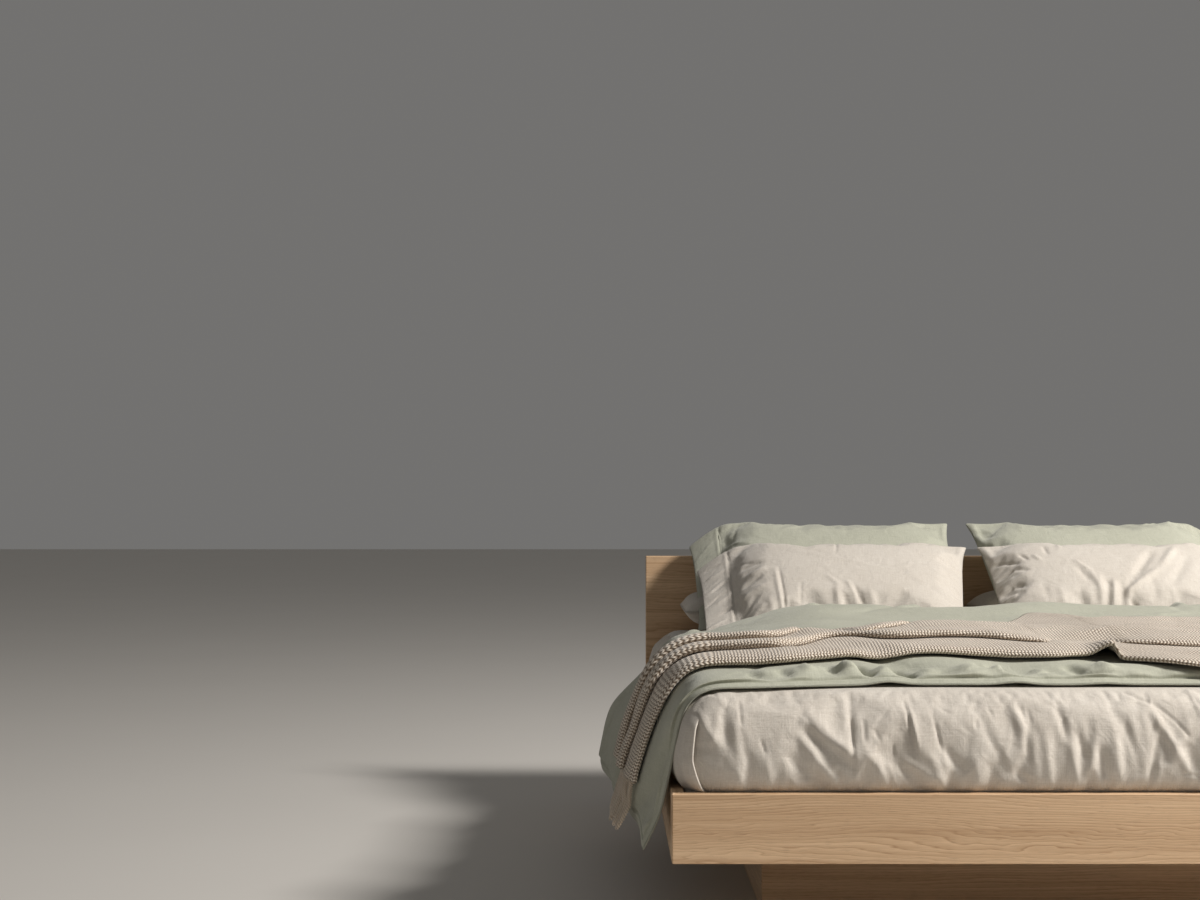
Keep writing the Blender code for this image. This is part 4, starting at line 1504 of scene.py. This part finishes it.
@dataclass
class KnitThrow:
    """The knitted throw, gathered into long rolls across the bed, with twisted cords on its ends."""

    fall: SideFall = field(default_factory=SideFall)
    columns: int = 330
    end: float = 0.265
    nose_rows: int = 11
    back_rows: int = 17
    thickness: float = 0.0045
    clearance: float = 0.0035
    lines: tuple[Array, ...] = ROLL_LINES
    noses: tuple[Array, ...] = ROLL_HEIGHTS
    flat: tuple[float, float] = (0.82, 2.19)
    dip: float = 0.0070
    bulge: float = 2.4
    arch_at: float = -0.014
    arch_half: tuple[float, float] = (0.030, 0.009)
    arch_rise: float = 0.028
    cord_count: int = 17
    cord_length: float = 0.118
    cord_turns: float = 10.5
    cord_rings: int = 64
    cord_sides: int = 7
    ply: float = 0.0034

    def profile(self, across: Array, row: Array) -> tuple[Array, Array]:
        """The folded cloth's cross-section.

        Args:
            across: Signed distance across the bed, over the duvet.
            row: Place through the folds in rows, from the foot edge.

        Returns:
            The y and the height above the duvet of each point.
        """
        y_lines = [smooth_curve(across, line) for line in self.lines]
        heights = [smooth_curve(across, nose, 0.012) for nose in self.noses]
        each = self.nose_rows + self.back_rows
        y = np.zeros_like(across)
        z = np.zeros_like(across)
        base = np.zeros_like(across)
        for number, (line, tall) in enumerate(zip(y_lines, heights)):
            after = y_lines[number + 1]
            last = number + 1 == len(heights)
            radius = tall / 2
            crest = base + tall
            next_tall = np.zeros_like(tall) if last else heights[number + 1]
            next_base = crest - self.dip * np.clip(next_tall / 0.010, 0.2, 1)
            if last:
                next_base = np.full_like(crest, self.thickness)
            start = number * each
            turn = np.clip((row - start) / self.nose_rows, 0, 1) * np.pi - np.pi / 2
            deep = radius * self.bulge
            nose_y = line + deep - deep * np.cos(turn)
            nose_z = base + radius + radius * np.sin(turn)
            q = np.clip((row - start - self.nose_rows) / self.back_rows, 0, 1)
            next_deep = next_tall / 2 * self.bulge
            back_y = mix(line + deep, after + next_deep, q)
            back_z = crest + (next_base - crest) * q ** (2.2 if last else 1.5)
            flat_share = np.clip((row - start) / each, 0, 1)
            fold = ease((tall - 0.002) / 0.007)
            flat_y = mix(line + deep, after + next_deep, flat_share)
            flat_z = mix(base, next_base, flat_share)
            nose_y, nose_z = mix(flat_y, nose_y, fold), mix(flat_z, nose_z, fold)
            back_y, back_z = mix(flat_y, back_y, fold), mix(flat_z, back_z, fold)
            here = (row >= start) if number == 0 else (row > start)
            on_nose = row <= start + self.nose_rows
            y = np.where(here, np.where(on_nose, nose_y, back_y), y)
            z = np.where(here, np.where(on_nose, nose_z, back_z), z)
            base = next_base
        return y, z

    def build(self, duvet: Duvet, knit: bpy.types.Material) -> bpy.types.Object:
        """Shapes the throw over the duvet.

        Args:
            duvet: What it lies on.
            knit: Its finish.

        Returns:
            The throw.
        """
        rows = (self.nose_rows + self.back_rows) * len(self.noses)
        mesh = flat_grid(self.columns, rows, "throw")
        u, v, _ = points_of(mesh).T
        across = u * (self.fall.flat + self.end)
        row = np.round((v + 1) / 2 * rows)
        y, z = self.profile(across, row)
        wobble = ripple(across * 5.0, row * 0.10, 3.0, 2)
        z = z + np.where(z > self.thickness + 0.002, 0.0018 * wobble, 0.0)
        y = y + 0.004 * ripple(across * 3.0, row * 0.05, 6.0)
        # The foot edge flips up in a small arch near the middle, steeper on its right
        from_arch = across - self.arch_at
        arch = from_arch / np.where(from_arch < 0, *self.arch_half)
        near_edge = 1 - ease((row - self.nose_rows * 0.9) / (self.back_rows * 0.9))
        z = z + self.arch_rise * np.exp(-(arch**2)) * near_edge
        base = duvet.top_at(across, y) + self.clearance
        points = self.fall.at(across, y, base + z)
        set_points(mesh, points)
        order = np.lexsort((row, np.round(u * self.columns)))
        steps = np.linalg.norm(np.diff(points[order], axis=0), axis=1)
        steps = np.concatenate([[0], np.where(np.diff(row[order]) > 0, steps, 0)])
        run = np.cumsum(steps)
        first = row[order] == 0
        run -= np.repeat(run[first], rows + 1)
        length = np.empty_like(run)
        length[order] = run
        give_cloth_map(mesh, np.column_stack([length, across]))
        piece = place_piece("throw_knit", mesh, knit)
        finish_with(piece, "SOLIDIFY", thickness=self.thickness, offset=-1.0)
        piece.data.shade_smooth()
        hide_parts("throw")
        LOG.info("throw is %.2f m wide", length.max())
        return piece

    def cords(self, duvet: Duvet, side: int, yarn: bpy.types.Material) -> bpy.types.Object:
        """The twisted cords of one end, each of two strands with a knot at the hem.

        Args:
            duvet: What the cords lie against.
            side: -1 for the left end and 1 for the right.
            yarn: Their finish.

        Returns:
            The cords.
        """
        draw = np.random.default_rng(8 + side)
        count, ply, rings, spokes = self.cord_count, self.ply, self.cord_rings, self.cord_sides
        shape = bmesh.new()
        bmesh.ops.create_circle(shape, cap_ends=True, radius=1.0, segments=spokes)
        edge = list(shape.edges)
        for _ in range(rings):
            out = bmesh.ops.extrude_edge_only(shape, edges=edge)["geom"]
            moved = {v for v in out if isinstance(v, bmesh.types.BMVert)}
            bmesh.ops.translate(shape, verts=list(moved), vec=(0, 0, 1))
            edge = [e for e in out if isinstance(e, bmesh.types.BMEdge) and moved.issuperset(e.verts)]
        bmesh.ops.contextual_create(shape, geom=edge)
        bmesh.ops.recalc_face_normals(shape, faces=shape.faces)
        strand = list(shape.verts) + list(shape.edges) + list(shape.faces)
        for number in range(1, count * 2):
            copy = bmesh.ops.duplicate(shape, geom=strand)["geom"]
            lifted = [v for v in copy if isinstance(v, bmesh.types.BMVert)]
            bmesh.ops.translate(shape, verts=lifted, vec=(0, 0, number * (rings + 2)))
        mesh = mesh_of(shape, "cords")
        ring_x, ring_y, place = points_of(mesh).T
        strand = np.floor(place / (rings + 2) + 1e-6)
        t = (place - strand * (rings + 2)) / rings
        cord, half = np.floor(strand / 2).astype(int), strand % 2
        foot, head = self.lines[0][0][1] + 0.012, self.lines[3][0][1] - 0.012
        root = np.linspace(foot, head, count) + draw.uniform(-0.006, 0.006, count)
        slant = draw.uniform(-0.016, 0.016, count)
        long = self.cord_length * draw.uniform(0.92, 1.06, count)
        lift_end = draw.uniform(0.0, 0.006, count)
        y_mid = root[cord] + slant[cord] * t**1.4
        reach = self.fall.flat + self.end - 0.004 + long[cord] * t
        turn = t * self.cord_turns * 2 * np.pi + half * np.pi
        knot = 1 + 0.9 * np.exp(-(((t - 0.045) / 0.035) ** 2))
        taper = np.clip((1 - t) / 0.05, 0.25, 1) * np.clip(t / 0.02, 0.3, 1)
        apart = ply * 0.82 * knot
        thick = ply * knot * taper
        base = duvet.top_at(side * np.minimum(reach, duvet.half_width(y_mid) - 0.02), y_mid)
        lift = base + self.clearance + 0.0045 + ply * 1.6 + lift_end[cord] * t
        y = y_mid + apart * np.cos(turn) + thick * ring_x
        out = lift + apart * np.sin(turn) + thick * ring_y
        set_points(mesh, self.fall.at(side * reach, y, out))
        if side < 0:
            mesh.flip_normals()
        name = "fringe_" + ("left" if side < 0 else "right")
        piece = place_piece(name + "_cords", mesh, yarn)
        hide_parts(name)
        return piece


# Wrinkles of the two linen pillows, drawn from the photograph: from x and share of the depth, to the same,
# then height and width
LEFT_WRINKLES = thousandths(
    (554, 507, 543, 96, -3.4, 4.5), (566, 515, 555, 103, 2.3, 6), (495, 324, 498, 103, -1.9, 5),
    (370, 199, 366, 96, -5.6, 9), (395, 279, 386, 81, 4.1, 10), (347, 279, 311, 103, -6.4, 9),
    (366, 331, 340, 199, 3, 8), (298, 228, 279, 88, 3.7, 11), (421, 390, 379, 257, 2.3, 8),
    (379, 978, 389, 647, -2.6, 4), (514, 757, 408, 640, -1.5, 6), (513, 699, 415, 588, 1.1, 7),
    (660, 632, 599, 610, -3.7, 10), (657, 507, 584, 537, 3.4, 11), (665, 419, 596, 478, -4.5, 11),
    (668, 294, 593, 360, 4.1, 12), (672, 154, 617, 294, -4.1, 11), (658, 74, 597, 191, 3.4, 12),
    (511, 140, 486, 59, -2.3, 6), (590, 228, 575, 59, 2.3, 10), (450, 632, 266, 478, 1.6, 9),
    (324, 551, 209, 463, -1.4, 10), (193, 456, 137, 309, 1.6, 12), (119, 676, 45, 610, -1.5, 10),
    (137, 309, 61, 199, -1.8, 12), (759, 897, 713, 875, -2.3, 7), (756, 779, 701, 794, 2.1, 7),
    (745, 610, 690, 654, -2.4, 8), (739, 441, 685, 500, 2.3, 8), (729, 294, 685, 360, -2.1, 8),
    (733, 1000, 697, 956, 1.6, 7),
)
RIGHT_WRINKLES = thousandths(
    (523, 750, 453, 485, 6.5, 12), (453, 485, 337, 206, 6, 12), (453, 684, 366, 360, -7.5, 13),
    (366, 360, 324, 184, -4, 10), (547, 662, 460, 279, -4.5, 14), (279, 412, 269, 103, 4.5, 9),
    (298, 360, 285, 96, -4.5, 9), (314, 338, 298, 96, 4.2, 8), (331, 316, 321, 96, -4.5, 9),
    (347, 257, 340, 96, 4, 8), (228, 566, 260, 441, 3.5, 8), (260, 441, 269, 257, 4, 8),
    (231, 485, 250, 324, -3.5, 9), (20, 566, 68, 574, -6.5, 9), (68, 574, 104, 500, -5.5, 9),
    (20, 493, 65, 485, 5, 9), (20, 397, 54, 412, -6, 9), (54, 412, 80, 375, -4.5, 9),
    (22, 316, 59, 309, 4, 9), (94, 699, 110, 618, -4.5, 6), (164, 765, 165, 647, -3.5, 6),
    (214, 1000, 202, 691, 2.5, 6), (128, 669, 143, 588, 3, 7), (415, 382, 412, 147, -2, 10),
    (457, 257, 466, 132, 2.2, 10), (168, 294, 173, 125, 2.2, 10), (131, 360, 133, 154, -2, 10),
    (221, 287, 221, 118, -2.2, 9),
)


@dataclass
class Pillow:
    """One pillow in a case whose open end runs on past a seam as a flat flange."""

    label: str
    kind: str
    line: tuple[tuple[float, float], ...]
    thick: float
    inner_end: float
    side: int
    seed: int
    body: float = 0.69
    flange: float = 0.088
    depth: float = 0.48
    lean: float = 0.03
    columns: int = 60
    rows: int = 34
    levels: int = 2
    droop: float = 0.065
    pinch: float = 0.017
    crown: float = 2.6
    strokes: tuple = ()

    def flat_shape(self, u: Array, v: Array, layer: Array) -> Array:
        """Plumps the pillow up where it lies flat: x from its inner end, y through its depth, z up.

        Args:
            u: Places from the inner end, -1, to the flange's edge, 1.
            v: Places from its lower edge, -1, to its upper one, 1.
            layer: 0 on its back and 1 on its front.

        Returns:
            The points.
        """
        width = self.body + self.flange
        x = (u + 1) / 2 * width
        within = np.clip(x / self.body * 2 - 1, -1, 1)
        inward = self.pinch * (1 - v**4)
        x = np.where(within < 1, x - inward * within**3, x - inward * 0.6)
        y = v * (self.depth / 2 - self.pinch * 0.7 * (1 - within**4))
        plump = (1 - np.abs(within) ** self.crown) ** 0.52 * (1 - np.abs(v) ** self.crown) ** 0.52
        half = 0.0018 + self.thick / 2 * plump
        return np.stack([x, y, half * (2 * layer - 1)], axis=1)

    def laid(self, flat: Array) -> Array:
        """Bends the flat pillow along its line, leans its inner end and lets its flange droop.

        Args:
            flat: Its points where it lies flat.

        Returns:
            The points on the bed.
        """
        x, y, z = flat.T
        t = y / self.depth + 0.5
        a, b, c, d = (np.array(p) for p in self.line)
        near, far = t[:, None], 1 - t[:, None]
        at = far**3 * a + 3 * far * far * near * b + 3 * far * near * near * c + near**3 * d
        way = 3 * far * far * (b - a) + 6 * far * near * (c - b) + 3 * near * near * (d - c)
        way /= np.linalg.norm(way, axis=1, keepdims=True)
        past = np.maximum(0, (x - self.body + 0.03) / 0.11)
        drop = self.droop * past**1.4 * (0.4 + 0.6 * np.clip(t, 0, 1)) * (self.flange > 0)
        shift = self.lean * (t - 1) * np.clip(1 - x / self.body, 0, 1)
        across = self.inner_end + self.side * x + shift
        return np.stack([across, at[:, 0] - way[:, 1] * z, at[:, 1] + way[:, 0] * z - drop], 1)

    def wrinkles(self) -> Array:
        """Gathers the case's wrinkles: those drawn for this pillow, and others by chance.

        Those by chance run in from the edges towards the middle, and a few lie on the flange.

        Returns:
            Rows for relief, with the second coordinate as a share of the depth.
        """
        draw = np.random.default_rng(self.seed)
        rows = [*self.strokes]
        for _ in range(26):
            side = draw.integers(4)
            along = draw.uniform(0.06, 0.94)
            across = along * self.body
            x0, t0 = ((across, 0.04), (across, 0.96), (0.02, along), (self.body - 0.012, along))[side]
            angle = math.atan2(0.5 - t0, self.body / 2 - x0) + draw.normal(0, 0.35)
            length = draw.uniform(0.03, 0.10)
            tall = draw.uniform(0.0010, 0.0028) * draw.choice((-1, 1))
            t1 = t0 + math.sin(angle) * length / self.depth
            rows.append((x0, t0, x0 + math.cos(angle) * length, t1, tall, draw.uniform(0.005, 0.011)))
        for _ in range(14):
            x0, t0 = draw.uniform(self.body + 0.01, self.body + 0.03), draw.uniform(0.1, 0.9)
            t1, tall = t0 + draw.uniform(-0.08, 0.02), draw.uniform(-0.002, 0.002)
            rows.append((x0, t0, x0 + 0.05, t1, tall, 0.006))
        return np.array(rows)

    def build(self, cover: bpy.types.Material, slot: str) -> bpy.types.Object:
        """Shapes the pillow, puffs it up and lays it in place.

        Args:
            cover: The case's finish.
            slot: A material slot's name; not used.

        Returns:
            The pillow.
        """
        mesh = spread_grid(self.columns, self.rows)
        u, v, layer = points_of(mesh).T
        flat = self.flat_shape(u, v, layer)
        set_points(mesh, flat)
        give_cloth_map(mesh, flat[:, :2] + np.array([self.seed * 0.37, 1.0]) + layer[:, None])
        note_places(mesh, np.column_stack([flat[:, 0], (v + 1) / 2, layer]))
        piece = place_piece(f"pillow_{self.kind}_{self.label}_case", mesh, cover)
        if self.levels > 1:
            edge = (np.abs(u) > 0.999) | (np.abs(v) > 0.999) | (flat[:, 0] > self.body - 0.01)
            puff = ClothRun(frames=10, pressure=1.6, grow=0.035, bend=0.15, stretch=20, cap=0.016)
            puff.settle(piece, edge)
        mesh = piece.data
        set_points(mesh, self.laid(points_of(mesh)))
        if self.side < 0:
            mesh.flip_normals()
        refine(piece, self.levels)
        self.sew(piece)
        piece.data.shade_smooth()
        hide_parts(f"pillow_{self.kind}_{self.label}")
        return piece

    def sew(self, piece: bpy.types.Object) -> None:
        """Draws in the wrinkles, and the flange's seam with the welt beside it.

        Args:
            piece: The subdivided pillow.
        """
        x, t, layer = read_places(piece.data)
        over = ease((layer - 0.6) / 0.3)
        within = ease((np.minimum(t, 1 - t) * self.depth) / 0.03)
        strokes = self.wrinkles() * np.array([1, self.depth, 1, self.depth, 1, 1])
        rise = relief(x, t * self.depth, strokes) * over * within
        if self.flange > 0:
            seam = np.exp(-(((x - self.body) / 0.0030) ** 2))
            welt = np.exp(-(((x - self.body - 0.0075) / 0.0035) ** 2))
            rise += (0.0012 * welt - 0.0032 * seam) * (0.3 + 0.7 * within)
        push_along(piece.data, rise)


def pillows() -> list[Pillow]:
    """Lists the six pillows: on each half a flat one, a sage one that leans on it and a linen one in front.

    Each kind has four control points of its line from its lower to its upper edge, as y and z.

    Returns:
        The pillows.
    """
    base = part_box("mattress")[1].z + 0.064
    flat = ((0.575, base), (0.70, base), (0.83, base), (0.965, base))
    sage = ((0.460, 0.575), (0.585, 0.640), (0.77, 0.733), (0.955, 0.838))
    linen = ((0.318, 0.553), (0.42, 0.612), (0.56, 0.697), (0.715, 0.772))
    lying = {"body": 0.775, "flange": 0.0, "depth": 0.39, "lean": 0.0, "crown": 5.0, "pinch": 0.0}
    lying |= {"columns": 44, "rows": 26, "levels": 1}
    return [
        Pillow("left", "flat", flat, 0.118, -0.050, -1, 1, **lying),
        Pillow("left", "sage", sage, 0.12, -0.020, -1, 2, lean=0.03),
        Pillow("left", "linen", linen, 0.135, -0.010, -1, 3, lean=0.075, strokes=LEFT_WRINKLES),
        Pillow("right", "flat", flat, 0.118, 0.035, 1, 4, **lying),
        Pillow("right", "sage", sage, 0.12, 0.030, 1, 5, lean=0.0),
        Pillow("right", "linen", linen, 0.135, 0.016, 1, 6, lean=0.015, strokes=RIGHT_WRINKLES),
    ]


@dataclass
class Studio:
    """Camera, light and floor."""

    eye: tuple[float, float, float] = (-1.064, -4.62, 0.906)
    lens: float = 55.7
    lens_shift: float = 0.0422
    floor_half: float = 30.0
    air: Colour = srgb(232, 230, 227)
    air_strength: float = 0.21
    key_place: tuple[float, float, float] = (4.5, -2.3, 4.9)
    key_aim: tuple[float, float, float] = (0, -0.2, 0.45)
    key_size: float = 1.5
    key_power: float = 680
    key_tint: Colour = (1.0, 0.968, 0.93)

    def build(self) -> None:
        """Sets the camera where the photograph was taken from, with soft light from the right."""
        scene = bpy.context.scene
        camera = bpy.data.cameras.new("camera")
        camera.lens = self.lens
        camera.sensor_width = 36
        camera.shift_y = self.lens_shift
        scene.camera = self.put("camera", camera, self.eye)
        scene.camera.rotation_euler = (math.radians(90), 0, 0)

        mesh = flat_grid(1, 1, "floor", self.floor_half)
        mesh.materials.append(FloorFinish("pale_floor", srgb(214, 210, 204)).material())
        self.put("floor", mesh, (0, 0, 0))

        world = bpy.data.worlds.new("studio")
        world.use_nodes = True
        colour, strength = world.node_tree.nodes["Background"].inputs[:2]
        colour.default_value = (*self.air, 1)
        strength.default_value = self.air_strength
        scene.world = world
        scene.view_settings.view_transform = "Standard"

        light = bpy.data.lights.new("key", "AREA")
        light.size = self.key_size
        light.energy = self.key_power
        light.color = self.key_tint
        key = self.put("key", light, self.key_place)
        key.rotation_euler = (Vector(self.key_aim) - key.location).to_track_quat("-Z", "Y").to_euler()

    def put(self, name: str, data: bpy.types.ID, place: Sequence[float]) -> bpy.types.Object:
        """Makes an object of a camera, a light or a mesh.

        Args:
            name: Its name.
            data: What it shows.
            place: Where it stands.

        Returns:
            The object.
        """
        made = bpy.data.objects.new(name, data)
        made.location = place
        bpy.context.scene.collection.objects.link(made)
        return made


def main() -> None:
    """Builds the bed's pieces in order and reports each."""
    Studio().build()
    LOG.info("studio ready")
    LOG.info("boards finished: %s", ", ".join(OakFrame().dress()))
    linen = LinenFinish("natural_linen", LINEN_LIGHT, LINEN_DARK).material()
    sage = LinenFinish("sage_linen", SAGE_LIGHT, SAGE_DARK).material()
    knit = KnitFinish("beige_knit", KNIT_YARN_AND_CROWN_HIGHLIGHT, KNIT_GAP_SHADE).material()

    mattress = Mattress()
    LOG.info("mattress: %d faces", len(mattress.core().data.polygons))
    sheet = mattress.sheet(linen)
    LOG.info("sheet: %d faces", len(sheet.data.polygons))
    flaps = [mattress.corner(side, linen) for side in (-1, 1)]
    LOG.info("sheet corners: %d faces each", len(flaps[0].data.polygons))

    duvet = Duvet()
    duvet_piece = duvet.build(sage)
    LOG.info("duvet: %d faces", len(duvet_piece.data.polygons))
    throw = KnitThrow()
    throw_piece = throw.build(duvet, knit)
    LOG.info("throw: %d faces", len(throw_piece.data.polygons))
    yarn = YarnFinish("throw_yarn", KNIT_YARN_AND_CROWN_HIGHLIGHT, srgb(176, 158, 138)).material()
    fringe = [throw.cords(duvet, side, yarn) for side in (-1, 1)]
    LOG.info("fringe: %d faces an end", len(fringe[0].data.polygons))

    for pillow in pillows():
        cover, slot = (sage, "sage_linen") if pillow.kind == "sage" else (linen, "natural_linen")
        made = pillow.build(cover, slot)
        LOG.info("%s: %d faces", made.name, len(made.data.polygons))


if __name__ == "__main__":
    main()
